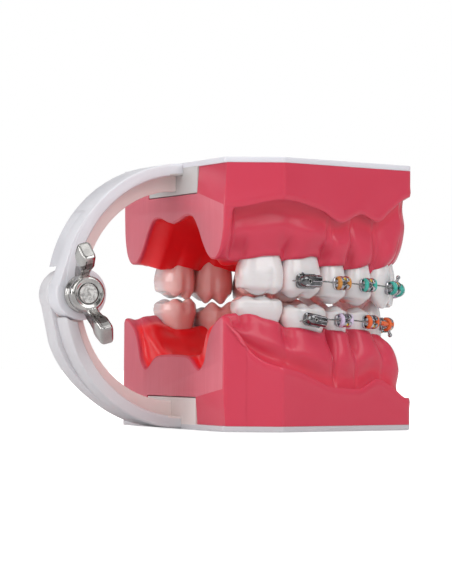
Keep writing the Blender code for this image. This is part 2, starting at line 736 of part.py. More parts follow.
def make_tube(jaw, i, side):
    directions = circle_directions(TUBE_SIDES)
    middle = FITTING_BACK + TUBE_DEPTH / 2
    shell = [(middle + signed_power(cos, TUBE_SQUARENESS) * TUBE_DEPTH / 2,
              signed_power(sin, TUBE_SQUARENESS) * TUBE_HEIGHT / 2) for cos, sin in directions]
    hole = [(TUBE_HOLE_RADIUS * cos, TUBE_HOLE_RADIUS * sin) for cos, sin in directions]
    bm = bmesh.new()
    shell0, hole0, shell1, hole1 = [
        [bm.verts.new(co) for co in fitting_ring(jaw, i, side, along, profile)]
        for along in (-TUBE_WIDTH / 2, TUBE_WIDTH / 2) for profile in (shell, hole)]
    circuit = (shell0, shell1, hole1, hole0, shell0)
    for first, second in zip(circuit, circuit[1:]):
        bridge(bm, first, second)
    make_part(f"{tooth_name(jaw, i, side)}_tube", bm, STEEL)


def wire_points(jaw):
    """Both ends of every straight piece through a slot or tube, right side then left."""
    half = []
    for i in range(FIRST_MOLAR, len(jaw.teeth)):
        station, z = wire_station(jaw, i)
        is_tube = i == FIRST_MOLAR
        reach = (TUBE_WIDTH if is_tube else BRACKET_WIDTH) / 2
        rear = reach + (WIRE_END if is_tube else WIRE_OVERRUN)
        for along in (-rear, reach + WIRE_OVERRUN):
            half.append((*station.plan(along, 0.0), z))
    return ([point(*position) for position in half]
            + [point(ahead, -across, z) for ahead, across, z in half[::-1]])


def make_wire(jaw):
    points = wire_points(jaw)
    curve = bpy.data.curves.new(f"{jaw.name}_wire_guide", "CURVE")
    curve.dimensions = "3D"
    curve.bevel_depth = WIRE_DIAMETER / 2 * MM
    curve.bevel_resolution = 1
    curve.use_fill_caps = True
    spline = curve.splines.new("POLY")
    spline.points.add(len(points) - 1)
    for spline_point, co in zip(spline.points, points):
        spline_point.co = (*co, 1)
    name = f"{jaw.name}_archwire"
    PARTS.objects.link(bpy.data.objects.new(name, curve))
    curve.materials.append(make_material(name, STEEL))


# ---------------------------------------------------------------- build everything
def build_jaw(jaw):
    sockets = new_collection(f"{jaw.name}_sockets", CUTTERS)
    make_gum(jaw, sockets)
    make_frame(jaw)
    for side in (1, -1):             # patient's right, left
        for i in range(len(jaw.teeth)):
            make_tooth(jaw, i, side)
            make_socket(jaw, i, side, sockets)
            if i == FIRST_MOLAR:
                make_tube(jaw, i, side)
            elif i > FIRST_MOLAR:
                make_bracket(jaw, i, side)
    make_wire(jaw)


build_jaw(UPPER)
build_jaw(LOWER)
make_bolt()
make_nut()
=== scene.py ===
"""Looks of a typodont: two hinged jaws with gum blocks, teeth, brackets and archwires.

Lengths are millimetres in part coordinates: x runs forward from the rear faces of the gum
blocks, y is the distance from the midline (positive on the patient's right), z is up from the
underside of the lower base plate. point() turns them into Blender's metres.
"""

from collections import namedtuple
import math

import bmesh
import bpy
import numpy as np
from mathutils import Matrix, Vector
from mathutils.bvhtree import BVHTree


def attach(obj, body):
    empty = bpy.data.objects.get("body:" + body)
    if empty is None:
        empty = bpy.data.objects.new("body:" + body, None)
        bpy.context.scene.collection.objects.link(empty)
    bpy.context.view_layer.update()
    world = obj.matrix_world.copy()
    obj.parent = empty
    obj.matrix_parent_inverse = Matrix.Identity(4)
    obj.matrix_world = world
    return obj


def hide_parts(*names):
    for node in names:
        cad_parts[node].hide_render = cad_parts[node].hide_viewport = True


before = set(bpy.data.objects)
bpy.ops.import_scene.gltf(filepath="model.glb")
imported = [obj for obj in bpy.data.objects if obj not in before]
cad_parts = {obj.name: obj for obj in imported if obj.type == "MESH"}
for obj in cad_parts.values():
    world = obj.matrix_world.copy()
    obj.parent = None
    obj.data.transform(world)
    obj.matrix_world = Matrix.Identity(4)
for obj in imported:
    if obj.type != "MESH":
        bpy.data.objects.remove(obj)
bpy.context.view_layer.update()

# ---------------------------------------------------------------- shared dimensions
MM = 0.001
REAR_Y = 26.0                       # world y of the rear faces
HEIGHT = 53.0
OCCLUSAL_Z = HEIGHT / 2
PLATE = 1.1                         # base plate thickness
REAR_HALF = 29.3                    # half width of the jaws at the rear
BLOCK_W, BLOCK_H, BLOCK_D = 14.0, 6.3, 6.0      # rear block: half width, height, depth
HINGE_X, HINGE_Z = -21.0, 26.6
FLANGE_W, FLANGE_T = 6.0, 2.4       # arm flange: half width, thickness

AWAY = {"upper": 1, "lower": -1}    # z direction away from the bite
HANDS = {1: "right", -1: "left"}    # by the sign of y

# right half of the plan outline: x, y
OUTLINES = {
    "upper": [(0.0, REAR_HALF), (10.8, 33.4), (44.3, 18.0), (51.0, 0.0)],
    "lower": [(0.0, REAR_HALF), (10.8, 33.4), (44.3, 18.0), (52.5, 0.0)]}
CORNER_RADII = (0.45, 1.1, 1.54, 6.0, 1.54, 1.1, 0.45)

# contact points between teeth, from behind the second molar to the midline: x, y
CONTACTS = {
    "upper": [(4.1, 25.3), (13.7, 25.7), (22.5, 23.6), (28.7, 21.7), (35.2, 19.6), (40.8, 14.4),
              (44.2, 8.3), (45.6, 0.0)],
    "lower": [(3.95, 24.3), (14.1, 24.4), (24.3, 22.3), (29.7, 20.3), (36.0, 17.0), (40.0, 11.0),
              (42.0, 5.7), (42.6, 0.0)]}

# depth, outward bulge from the contact line, margin z, cusp z, lean of the root end, lingual taper
Tooth = namedtuple("Tooth", "name depth bulge margin cusp lean taper")
TEETH = {
    "upper": [Tooth("second_molar", 10.4, 1.2, 33.9, 26.15, 0.0, 0.16),
              Tooth("first_molar", 10.8, 1.3, 34.0, 25.55, 0.0, 0.18),
              Tooth("second_premolar", 9.0, 1.5, 32.4, 24.85, 0.0, 0.26),
              Tooth("first_premolar", 9.0, 1.6, 32.5, 24.6, 0.0, 0.28),
              Tooth("canine", 8.2, 1.8, 33.3, 24.3, 0.2, 0.52),
              Tooth("lateral_incisor", 6.2, 1.1, 33.0, 24.9, 0.2, 0.40),
              Tooth("central_incisor", 6.8, 1.0, 33.2, 24.7, 0.2, 0.34)],
    "lower": [Tooth("second_molar", 9.8, 1.1, 21.6, 26.6, 0.0, 0.14),
              Tooth("first_molar", 10.0, 1.2, 19.6, 25.3, 0.0, 0.16),
              Tooth("second_premolar", 8.2, 1.2, 19.1, 24.8, 0.1, 0.26),
              Tooth("first_premolar", 7.8, 1.3, 19.4, 24.6, 0.2, 0.32),
              Tooth("canine", 7.4, 1.2, 18.1, 25.9, 0.7, 0.50),
              Tooth("lateral_incisor", 5.8, 0.7, 18.2, 26.8, 0.9, 0.42),
              Tooth("central_incisor", 5.6, 0.6, 18.3, 27.0, 0.9, 0.38)]}


# ---------------------------------------------------------------- coordinates and curves
def point(x, y, z):
    return Vector((-y, REAR_Y - x, z)) * MM


def to_world(points):
    """Array of (x, y, z) rows to world metres."""
    return np.stack([-points[..., 1], REAR_Y - points[..., 0], points[..., 2]], -1) * MM


def from_world(place):
    x, y, z = place / MM
    return REAR_Y - y, -x, z


def ease(value, low=0.0, high=1.0):
    t = np.clip((np.asarray(value, float) - low) / (high - low), 0, 1)
    return t * t * (3 - 2 * t)


def bell(value, centre, width):
    return np.exp(-((np.asarray(value, float) - centre) / width) ** 2)


def hermite(t, start, end, start_slope, end_slope):
    return ((2 * t ** 3 - 3 * t ** 2 + 1) * start + (t ** 3 - 2 * t ** 2 + t) * start_slope
            + (3 * t ** 2 - 2 * t ** 3) * end + (t ** 3 - t ** 2) * end_slope)


def curve(table, value, column=1):
    """A column of a table, interpolated over its first column without overshoot."""
    table = np.array(table, float)
    stations, heights = table[:, 0], table[:, column]
    gaps = np.diff(stations)
    rates = np.diff(heights) / gaps
    slopes = np.zeros(len(stations))
    slopes[0], slopes[-1] = rates[0], rates[-1]
    for k in range(1, len(gaps)):
        if rates[k - 1] * rates[k] > 0:
            before, after = 2 * gaps[k] + gaps[k - 1], gaps[k] + 2 * gaps[k - 1]
            slopes[k] = (before + after) / (before / rates[k - 1] + after / rates[k])
    value = np.clip(np.asarray(value, float), stations[0], stations[-1])
    k = np.clip(np.searchsorted(stations, value, side="right") - 1, 0, len(gaps) - 1)
    return hermite((value - stations[k]) / gaps[k], heights[k], heights[k + 1],
                   gaps[k] * slopes[k], gaps[k] * slopes[k + 1])


def spline_rows(controls, steps):
    """Fill between control points along axis 1 with a chord-length spline."""
    chords = np.linalg.norm(np.diff(controls, axis=1), axis=2)[..., None] + 1e-6
    rates = np.diff(controls, axis=1) / chords
    slopes = np.empty_like(controls)
    slopes[:, 0], slopes[:, -1] = rates[:, 0], rates[:, -1]
    weight = chords[:, 1:] / (chords[:, 1:] + chords[:, :-1])
    slopes[:, 1:-1] = rates[:, :-1] * weight + rates[:, 1:] * (1 - weight)
    rows = [hermite(t, controls[:, k], controls[:, k + 1],
                    chords[:, k] * slopes[:, k], chords[:, k] * slopes[:, k + 1])
            for k, count in enumerate(steps) for t in np.arange(count) / count]
    return np.stack(rows + [controls[:, -1]], 1)


def gauss_filter(values, width):
    reach = int(width * 3)
    weights = bell(np.arange(-reach, reach + 1), 0, width)
    padded = np.concatenate([values[1:reach + 1][::-1], values, values[-reach - 1:-1][::-1]])
    return np.convolve(padded, weights / weights.sum(), mode="valid")


def jaw_outline(jaw):
    """Closed plan outline (x, y) from the right rear corner, with rounded corners."""
    half = OUTLINES[jaw]
    loop = [(0.0, 0.0)] + half + [(x, -y) for x, y in half[-2::-1]] + [(0.0, 0.0)]
    outline = []
    for before, corner, after, radius in zip(loop, loop[1:], loop[2:], CORNER_RADII):
        back, ahead = np.subtract(before, corner), np.subtract(after, corner)
        back_length, ahead_length = np.linalg.norm(back), np.linalg.norm(ahead)
        back, ahead = back / back_length, ahead / ahead_length
        half_angle = math.acos(max(-1, min(1, float(back @ ahead)))) / 2
        cut = min(radius / math.tan(half_angle), back_length * 0.45, ahead_length * 0.45)
        for t in np.linspace(0, 1, 7):
            outline.append(corner + back * cut * (1 - t) ** 2 + ahead * cut * t ** 2)
    return outline


def circle(radius, sides, turn=0.0):
    angles = [turn + 2 * math.pi * k / sides for k in range(sides)]
    return [(radius * math.cos(angle), radius * math.sin(angle)) for angle in angles]


def squarish(sides, power):
    """Two rows of unit coordinates of a circle squared off by a power below 1."""
    angles = 2 * np.pi * (np.arange(sides) + 0.5) / sides
    ring = np.stack([np.cos(angles), np.sin(angles)])
    return np.sign(ring) * np.abs(ring) ** power


def rounded_rect(half_width, half_height, radius):
    wide, high = half_width - radius, half_height - radius
    return [(x + radius * math.cos(math.radians(start + 18 * k)),
             y + radius * math.sin(math.radians(start + 18 * k)))
            for x, y, start in ((wide, high, 0), (-wide, high, 90), (-wide, -high, 180),
                                (wide, -high, 270))
            for k in range(6)]


# ---------------------------------------------------------------- meshes
def new_object(name, mesh, materials):
    ob = bpy.data.objects.new(name, mesh)
    bpy.context.scene.collection.objects.link(ob)
    for material in materials:
        mesh.materials.append(material)
    return ob


def from_bm(name, bm, materials, recalc=True):
    if recalc:
        bmesh.ops.recalc_face_normals(bm, faces=bm.faces)
    mesh = bpy.data.meshes.new(name)
    bm.to_mesh(mesh)
    bm.free()
    return new_object(name, mesh, materials)


def loft(bm, rings, loop=False, cap_end=True):
    """Skin over closed rings; with loop the last ring joins the first."""
    rows = [[bm.verts.new(place) for place in ring] for ring in rings]
    count = len(rows[0])
    for row, after in zip(rows, rows[1:] + (rows[:1] if loop else [])):
        for i in range(count):
            j = (i + 1) % count
            bm.faces.new((row[i], row[j], after[j], after[i]))
    if not loop:
        bm.faces.new(rows[0][::-1])
        if cap_end:
            bm.faces.new(rows[-1])
    return rows


def shade(ob, degrees):
    """Smooth shading with sharp edges above an angle."""
    ob.data.shade_smooth()
    ob.data.set_sharp_from_angle(angle=math.radians(degrees))
    return ob


def lofted(name, rings, materials, sharp=None):
    bm = bmesh.new()
    loft(bm, rings)
    ob = from_bm(name, bm, materials)
    return shade(ob, sharp) if sharp else ob


def add_modifier(ob, kind, **settings):
    modifier = ob.modifiers.new(kind.lower(), kind)
    for key, value in settings.items():
        setattr(modifier, key, value)


def apply_modifiers(ob):
    bpy.context.view_layer.update()
    graph = bpy.context.evaluated_depsgraph_get()
    mesh = bpy.data.meshes.new_from_object(ob.evaluated_get(graph))
    old = ob.data
    ob.modifiers.clear()
    ob.data = mesh
    mesh.name = ob.name
    if old.users == 0:
        bpy.data.meshes.remove(old)
    return ob


def bevelled(ob, width, segments, degrees):
    add_modifier(ob, "BEVEL", width=width * MM, segments=segments, limit_method="ANGLE",
                 angle_limit=math.radians(degrees))
    return apply_modifiers(ob)


def combine(ob, tool, operation="DIFFERENCE"):
    """Boolean of an object with a tool, which is used up."""
    add_modifier(ob, "BOOLEAN", object=tool, operation=operation, solver="EXACT")
    apply_modifiers(ob)
    bpy.data.objects.remove(tool, do_unlink=True)
    return ob


def prism(name, outline, from_y, to_y, material, bevel=0.0, segments=3):
    """Solid from a side outline of (x, z) points between two distances y."""
    ob = lofted(name, [[point(x, y, z) for x, z in outline] for y in (from_y, to_y)], [material])
    return bevelled(ob, bevel, segments, degrees=60) if bevel else ob


def join(name, pieces):
    """One mesh from several, which are used up."""
    bm = bmesh.new()
    materials = []
    for ob in pieces:
        for material in ob.data.materials:
            if material not in materials:
                materials.append(material)
        slots = [materials.index(material) for material in ob.data.materials]
        start = len(bm.faces)
        bm.from_mesh(ob.data)
        bm.faces.ensure_lookup_table()
        for face in bm.faces[start:]:
            face.material_index = slots[face.material_index]
    joined = from_bm(name, bm, materials, recalc=False)
    for ob in pieces:
        bpy.data.objects.remove(ob, do_unlink=True)
    return joined


def tube(name, points, radii, material, sides=14, closed=False):
    """Round tube along a smooth path of world points, with a radius in mm per point."""
    points = np.array(points, float)
    count = len(points)
    path, sizes = [], []
    for k in range(count if closed else count - 1):
        near = [(k + step) % count if closed else min(max(k + step, 0), count - 1)
                for step in (-1, 0, 1, 2)]
        before, start, end, after = points[near]
        for t in np.arange(5) / 5:
            path.append(hermite(t, start, end, (end - before) / 2, (after - start) / 2))
            sizes.append(radii[near[1]] * (1 - t) + radii[near[2]] * t)
    if not closed:
        path.append(points[-1])
        sizes.append(radii[-1])
    path = np.array(path)
    tangents = np.roll(path, -1, 0) - np.roll(path, 1, 0)
    if not closed:
        tangents[0], tangents[-1] = path[1] - path[0], path[-1] - path[-2]
    tangents /= np.linalg.norm(tangents, axis=1)[:, None] + 1e-12
    middle = Vector(points.mean(0))
    rings = []
    for place, tangent, radius in zip(path, tangents, sizes):
        place, tangent = Vector(place), Vector(tangent)
        across = place - middle if closed else Vector((0, 0, 1))
        across = (across - tangent * across.dot(tangent)).normalized()
        other = tangent.cross(across)
        rings.append([place + (across * cosine + other * sine) * radius * MM
                      for cosine, sine in circle(1.0, sides)])
    bm = bmesh.new()
    loft(bm, rings, loop=closed)
    ob = from_bm(name, bm, [material])
    ob.data.shade_smooth()
    return ob


def ball(name, centre, radius, material):
    bm = bmesh.new()
    bmesh.ops.create_icosphere(bm, subdivisions=3, radius=radius * MM)
    for vertex in bm.verts:
        vertex.co += centre
    ob = from_bm(name, bm, [material])
    ob.data.shade_smooth()
    return ob


def register(ob, mover):
    if ob.name.startswith("look_"):
        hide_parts(ob.name.removeprefix("look_"))
    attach(ob, mover)


# ---------------------------------------------------------------- materials
def add_node(tree, kind, inputs=None, **settings):
    """A shader node; inputs maps sockets to values or to the outputs that feed them."""
    node = tree.nodes.new("ShaderNode" + kind)
    for key, value in settings.items():
        setattr(node, key, value)
    for key, value in (inputs or {}).items():
        if isinstance(value, bpy.types.NodeSocket):
            tree.links.new(value, node.inputs[key])
        else:
            node.inputs[key].default_value = value
    return node


def map_range(tree, value, band, to=(0.0, 1.0), kind="SMOOTHSTEP"):
    sockets = {"Value": value, "From Min": band[0], "From Max": band[1],
               "To Min": to[0], "To Max": to[1]}
    return add_node(tree, "MapRange", sockets, interpolation_type=kind).outputs["Result"]


class Look:
    """A Principled material with procedural detail in object space (metres)."""

    def __init__(self, name, **inputs):
        self.material = bpy.data.materials.new(name)
        self.material.use_nodes = True
        self.tree = self.material.node_tree
        self.shader = self.tree.nodes["Principled BSDF"]
        self.place = add_node(self.tree, "TexCoord").outputs["Object"]
        self.set(**inputs)

    def set(self, **inputs):
        for key, value in inputs.items():
            self.shader.inputs[key.replace("_", " ")].default_value = value

    def scatter(self, weight, radius):
        self.set(Subsurface_Weight=weight, Subsurface_Radius=radius, Subsurface_Scale=1.0)

    def feed(self, socket, output):
        self.tree.links.new(output, self.shader.inputs[socket])

    def noise(self, scale, detail=4.0, rough=0.5, stretch=None):
        place = self.place
        if stretch:
            place = add_node(self.tree, "Mapping",
                             {"Vector": place, "Scale": stretch}).outputs["Vector"]
        sockets = {"Vector": place, "Scale": scale, "Detail": detail, "Roughness": rough}
        return add_node(self.tree, "TexNoise", sockets).outputs["Fac"]

    def patches(self, scale, detail=4.0, band=(0.3, 0.7), to=(0.0, 1.0), **noise):
        """Noise with the values of a band spread over another range."""
        return map_range(self.tree, self.noise(scale, detail, **noise), band, to)

    def inner(self):
        """Share of the inner colour, a painted bounce light and shade, stored on the mesh."""
        stored = add_node(self.tree, "Attribute", attribute_name="inner").outputs["Fac"]
        return map_range(self.tree, stored, (0.0, 1.0))

    def mix(self, share, base, over):
        base, over = ((*colour, 1) if isinstance(colour, tuple) else colour
                      for colour in (base, over))
        return add_node(self.tree, "Mix", {0: share, 6: base, 7: over},
                        data_type="RGBA").outputs[2]

    def bump(self, strength, distance, **noise):
        sockets = {"Strength": strength, "Distance": distance, "Height": self.noise(**noise)}
        self.feed("Normal", add_node(self.tree, "Bump", sockets).outputs["Normal"])


def gum_resin():
    look = Look("gum_resin", Coat_Weight=0.10, Coat_Roughness=0.12, Specular_IOR_Level=0.32)
    look.scatter(weight=0.15, radius=(0.0014, 0.0003, 0.0002))
    broad = look.patches(scale=45, detail=2, band=(0.2, 0.8))
    fine = look.patches(scale=1400, detail=3, band=(0.2, 0.8), to=(0.0, 0.5))
    colour = look.mix(broad, base=(0.61, 0.046, 0.088), over=(0.63, 0.053, 0.097))
    colour = look.mix(fine, base=colour, over=(0.61, 0.050, 0.092))
    # painted bounce light and shade: a deeper, brighter red past the outer margin, in the vault and
    # in the cove under the fold
    colour = look.mix(look.inner(), base=colour, over=(0.90, 0.019, 0.026))
    look.feed("Base Color", colour)
    look.feed("Roughness", look.patches(scale=90, detail=2, band=(0.2, 0.8), to=(0.285, 0.33)))
    look.bump(strength=0.06, distance=0.00003, scale=700, detail=2, rough=0.4)
    return look.material


def gum_trimmed():
    """Flat rear faces of the gum: paler, matte, with fine grinding marks."""
    look = Look("gum_resin_trimmed", Roughness=0.42, Specular_IOR_Level=0.5)
    look.scatter(weight=0.12, radius=(0.0016, 0.0004, 0.0003))
    marks = look.patches(scale=900, rough=0.6, stretch=(1.0, 1.0, 0.12), band=(0.35, 0.65))
    colour = look.mix(marks, base=(0.63, 0.125, 0.170), over=(0.67, 0.150, 0.195))
    clouds = look.patches(scale=120, band=(0.2, 0.8))
    look.feed("Base Color", look.mix(clouds, base=colour, over=(0.65, 0.135, 0.180)))
    look.bump(strength=0.25, distance=0.00006, scale=1500, rough=0.6, stretch=(1.0, 1.0, 0.15))
    return look.material


def plastic(name, base, over, scale=60, scatter_radius=(0.0016, 0.0013, 0.0013)):
    look = Look(name, Specular_IOR_Level=0.5)
    look.scatter(weight=0.25, radius=scatter_radius)
    clouds = look.patches(scale=scale, detail=3, band=(0.35, 0.65))
    look.feed("Base Color", look.mix(clouds, base, over))
    look.feed("Roughness", look.patches(scale=200, to=(0.30, 0.42)))
    look.bump(strength=0.10, distance=0.00012, scale=140, detail=2)
    return look.material


def enamel():
    look = Look("tooth_enamel", Coat_Weight=0.3, Coat_Roughness=0.08)
    look.scatter(weight=0.35, radius=(0.0012, 0.0008, 0.0006))
    clouds = look.patches(scale=180, detail=3, band=(0.25, 0.75))
    colour = look.mix(clouds, base=(0.71, 0.685, 0.69), over=(0.75, 0.73, 0.735))
    lines = look.patches(scale=420, detail=5, rough=0.6, stretch=(1.0, 1.0, 3.0), band=(0.5, 0.8))
    colour = look.mix(lines, base=colour, over=(0.69, 0.66, 0.655))
    # painted warm bounce light and shade in the crevices: peach on the tongue side, the necks, the
    # ends and the fissures
    look.feed("Base Color", look.mix(look.inner(), base=colour, over=(0.93, 0.565, 0.53)))
    look.feed("Roughness", look.patches(scale=300, to=(0.17, 0.26)))
    look.bump(strength=0.2, distance=0.0001, scale=220, detail=3, rough=0.4)
    return look.material


def metal(name, dark, light, rough, streak=(1.0, 1.0, 0.15), scale=900, bump=0.25):
    look = Look(name, Metallic=1.0)
    streaks = look.patches(scale, detail=5, rough=0.6, stretch=streak, band=(0.38, 0.62))
    look.feed("Base Color", look.mix(streaks, dark, light))
    look.feed("Roughness", look.patches(scale * 0.7, to=(rough * 0.7, rough * 1.3)))
    look.bump(strength=bump, distance=0.00006, scale=scale * 0.8, detail=5, rough=0.6)
    return look.material


def rubber(name, dark, light):
    look = Look(name)
    look.scatter(weight=0.2, radius=(0.0004, 0.0003, 0.0003))
    look.feed("Base Color", look.mix(look.patches(scale=1500, band=(0.35, 0.65)), dark, light))
    look.feed("Roughness", look.patches(scale=900, detail=3, to=(0.25, 0.4)))
    look.bump(strength=0.2, distance=0.00004, scale=1200, detail=3)
    return look.material


RESIN, TRIMMED = gum_resin(), gum_trimmed()
WHITE = plastic("white_plastic", base=(0.70, 0.695, 0.745), over=(0.73, 0.725, 0.775))
# painted bounce light: the webs take a pink copy of the white plastic, as if lit by the gum's colour
WEB = plastic("white_plastic_web", base=(0.87, 0.745, 0.72), over=(0.89, 0.765, 0.74),
              scale=80, scatter_radius=(0.0018, 0.0011, 0.0011))
ENAMEL = enamel()
# arm, web, rear block and base plate of each frame
FRAME_LOOKS = {
    "upper": (plastic("white_plastic_arm", (0.68, 0.675, 0.715), (0.71, 0.705, 0.745)), WEB,
              # painted shade: the upper rear block takes a darker, greyer copy of the white plastic
              plastic("white_plastic_block", (0.56, 0.54, 0.53), (0.59, 0.57, 0.56)), WHITE),
    # painted shade on the lower arm and plate, darker copies of the white plastic; painted pink
    # bounce light from the gum on the lower rear block
    "lower": (plastic("white_plastic_lower_arm", (0.62, 0.61, 0.635), (0.65, 0.635, 0.66)), WEB,
              plastic("white_plastic_lower_block", (0.72, 0.63, 0.61), (0.75, 0.66, 0.64)),
              plastic("white_plastic_lower_plate", (0.55, 0.54, 0.565), (0.58, 0.57, 0.595)))}
STEEL = metal("bracket_steel", dark=(0.34, 0.34, 0.36), light=(0.62, 0.62, 0.65), rough=0.20,
              streak=(1, 1, 0.4), scale=400, bump=0.08)
TUBE_STEEL = metal("tube_steel", dark=(0.11, 0.11, 0.115), light=(0.26, 0.26, 0.265), rough=0.20,
                   streak=(1, 1, 0.4), scale=400, bump=0.08)
WIRE_STEEL = metal("wire_steel", dark=(0.24, 0.25, 0.24), light=(0.42, 0.43, 0.42), rough=0.25)
CAST = metal("plated_cast_face", dark=(0.40, 0.39, 0.38), light=(0.86, 0.85, 0.83), rough=0.34,
             streak=(1, 1, 1), scale=1500, bump=0.6)
# painted shade and dark reflection for the necks of the wing nut's ears
NICKEL_PAINTED_SHADE = metal("plated_neck", dark=(0.13, 0.115, 0.11), light=(0.34, 0.32, 0.31), rough=0.15,
                    streak=(1, 1, 1), scale=300)
NICKEL = metal("plated_hardware", dark=(0.40, 0.39, 0.38), light=(0.56, 0.55, 0.53), rough=0.16,
               streak=(1, 1, 1), scale=260, bump=0.35)
GOLD = metal("gold_mark", dark=(0.62, 0.40, 0.04), light=(0.75, 0.52, 0.10), rough=0.3)
LIGATURES = {
    "gold": rubber("ligature_gold", (0.50, 0.20, 0.03), (0.62, 0.28, 0.05)),
    "teal": rubber("ligature_teal", (0.03, 0.34, 0.28), (0.06, 0.46, 0.38)),
    "lilac": rubber("ligature_lilac", (0.55, 0.44, 0.62), (0.66, 0.55, 0.72)),
    "orange": rubber("ligature_orange", (0.70, 0.10, 0.02), (0.80, 0.15, 0.03))}


# ---------------------------------------------------------------- teeth
# Height shares run from 0 at the gum margin to 1 at the cusp; the root is negative.
# height share, share of the lean
LEAN = ((-0.7, 1.4), (-0.1, 1.0), (0.12, 0.85), (0.48, 0.45), (0.75, 0.15), (1.0, 0.0))
# height share, scale of the section of a back tooth
BACK_SCALE = ((-0.7, 0.60), (-0.3, 0.75), (0.0, 0.85), (0.13, 0.90), (0.27, 0.955), (0.40, 0.99),
              (0.49, 1.0), (0.56, 0.995), (0.62, 0.98), (0.64, 0.975))
# height share, width share, outer face offset in mm, thickness share
INCISOR = ((-0.7, 0.55, -0.9, 0.60), (-0.3, 0.70, -0.7, 0.74), (0.0, 0.80, -0.5, 0.84),
           (0.2, 0.90, -0.12, 0.80), (0.4, 0.97, 0.0, 0.68), (0.6, 1.0, -0.06, 0.54),
           (0.8, 1.0, -0.18, 0.38), (0.93, 0.96, -0.32, 0.25), (0.985, 0.91, -0.42, 0.15),
           (1.0, 0.85, -0.5, 0.07))
CANINE = ((-0.7, 0.55, -0.9, 0.62), (-0.3, 0.72, -0.8, 0.76), (0.0, 0.80, -0.55, 0.86),
          (0.2, 0.90, -0.12, 0.85), (0.42, 0.99, 0.0, 0.76), (0.58, 1.0, -0.08, 0.64),
          (0.74, 0.90, -0.26, 0.48), (0.87, 0.67, -0.5, 0.33), (0.95, 0.42, -0.72, 0.22),
          (0.99, 0.20, -0.86, 0.12), (1.0, 0.07, -0.92, 0.05))
# cusps: place towards the midline and the cheek (shares of the half sizes), drop in mm, radius
CUSPS = {
    ("upper", "second_molar"): ((-0.12, 0.58, 0.12, 0.66), (0.66, 0.58, 0.0, 0.46),
                                (-0.48, -0.60, 0.1, 0.56), (0.42, -0.60, -0.5, 0.62)),
    ("upper", "first_molar"): ((-0.46, 0.58, 0.1, 0.54), (0.52, 0.58, 0.0, 0.54),
                               (-0.50, -0.60, -0.75, 0.56), (0.42, -0.60, -0.75, 0.62),
                               (-0.04, -0.56, -0.6, 0.50)),
    ("upper", "second_premolar"): ((0.06, 0.50, 0.0, 0.78), (0.0, -0.58, -0.05, 0.70)),
    ("upper", "first_premolar"): ((0.12, 0.50, 0.0, 0.74), (0.0, -0.58, 0.6, 0.62)),
    ("lower", "second_molar"): ((-0.54, 0.58, 0.0, 0.56), (0.18, 0.58, 0.0, 0.50),
                                (0.78, 0.56, 0.25, 0.38), (-0.48, -0.60, -0.1, 0.58),
                                (0.46, -0.60, -0.3, 0.56)),
    ("lower", "first_molar"): ((-0.68, 0.56, 0.15, 0.44), (-0.04, 0.60, 0.0, 0.38),
                               (0.60, 0.58, 0.0, 0.46), (-0.48, -0.60, -0.9, 0.58),
                               (0.0, -0.62, -0.9, 0.52), (0.46, -0.60, -1.0, 0.62)),
    ("lower", "second_premolar"): ((0.08, 0.48, 0.0, 0.74), (0.25, -0.58, 0.4, 0.58),
                                   (-0.35, -0.58, 0.8, 0.48)),
    ("lower", "first_premolar"): ((0.06, 0.44, 0.0, 0.74), (0.0, -0.60, 1.3, 0.56))}
# grooves on the sides: place towards the midline, +1 cheek or -1 tongue side, depth share
GROOVES = {
    ("upper", "second_molar"): ((0.36, 1, 0.085), (-0.02, -1, 0.11)),
    ("upper", "first_molar"): ((0.04, 1, 0.075), (-0.02, -1, 0.11)),
    ("lower", "second_molar"): ((0.50, 1, 0.04), (0.0, -1, 0.10)),
    ("lower", "first_molar"): ((-0.36, 1, 0.05), (0.28, 1, 0.055), (0.0, -1, 0.10))}
TOOTH_SIDES = 72
# forward moves of the contact points, and further moves on the left
SHIFT = {"upper": (0.85, 0.45, 0.35, 0.25, 0.1, 0, 0, 0),
         "lower": (0.55, 0.45, 0.35, 0.25, 0.1, 0, 0, 0)}
LEFT_SHIFT = (0.0, -1.3, -0.9, -0.5, -0.2, 0, 0, 0)
# height shares of the rings; on back teeth the chewing surface follows at CROWN_TOP
FRONT_RINGS = (-0.7, -0.5, -0.3, -0.15, 0.0, 0.1, 0.2, 0.3, 0.4, 0.5, 0.6, 0.7, 0.78, 0.85,
               0.9, 0.94, 0.965, 0.985, 0.995, 1.0)
CROWN_TOP = 0.62
BACK_RINGS = (-0.7, -0.5, -0.3, -0.15, 0.0, 0.08, 0.16, 0.24, 0.32, 0.4, 0.48, 0.55, CROWN_TOP)
# size shares of the rings of the chewing surface, from the rim to the middle
CHEWING_RINGS = (0.999, 0.994, 0.985, 0.97, 0.95, 0.925, 0.895, 0.86, 0.82, 0.775, 0.73, 0.68,
                 0.62, 0.55, 0.47, 0.38, 0.29, 0.20, 0.11, 0.04)
HOLLOW_RING = 25                    # first ring that takes the painted warm shade of the fissures
SEAT_GAP = 0.14                     # between biting teeth
SEAT_PROBE = 6.0                    # depth below a point from which the upper tooth is sought


def is_front(i):
    return i >= 4


def tooth_axes(jaw, i, side=None):
    """Plan centre, direction to the midline, outward direction and width of a tooth.

    Without a side it stands on the plain contact points, otherwise on the moved ones.
    """
    ends = np.array(CONTACTS[jaw][i:i + 2])
    if side is not None:
        ends[:, 0] += SHIFT[jaw][i:i + 2]
        if side < 0:
            ends[:, 0] += LEFT_SHIFT[i:i + 2]
            ends[1, 0] -= 0.35 * (i == 0)
    width = np.linalg.norm(ends[1] - ends[0])
    mesial = (ends[1] - ends[0]) / width
    return ends.mean(0), mesial, np.array((-mesial[1], mesial[0])), width


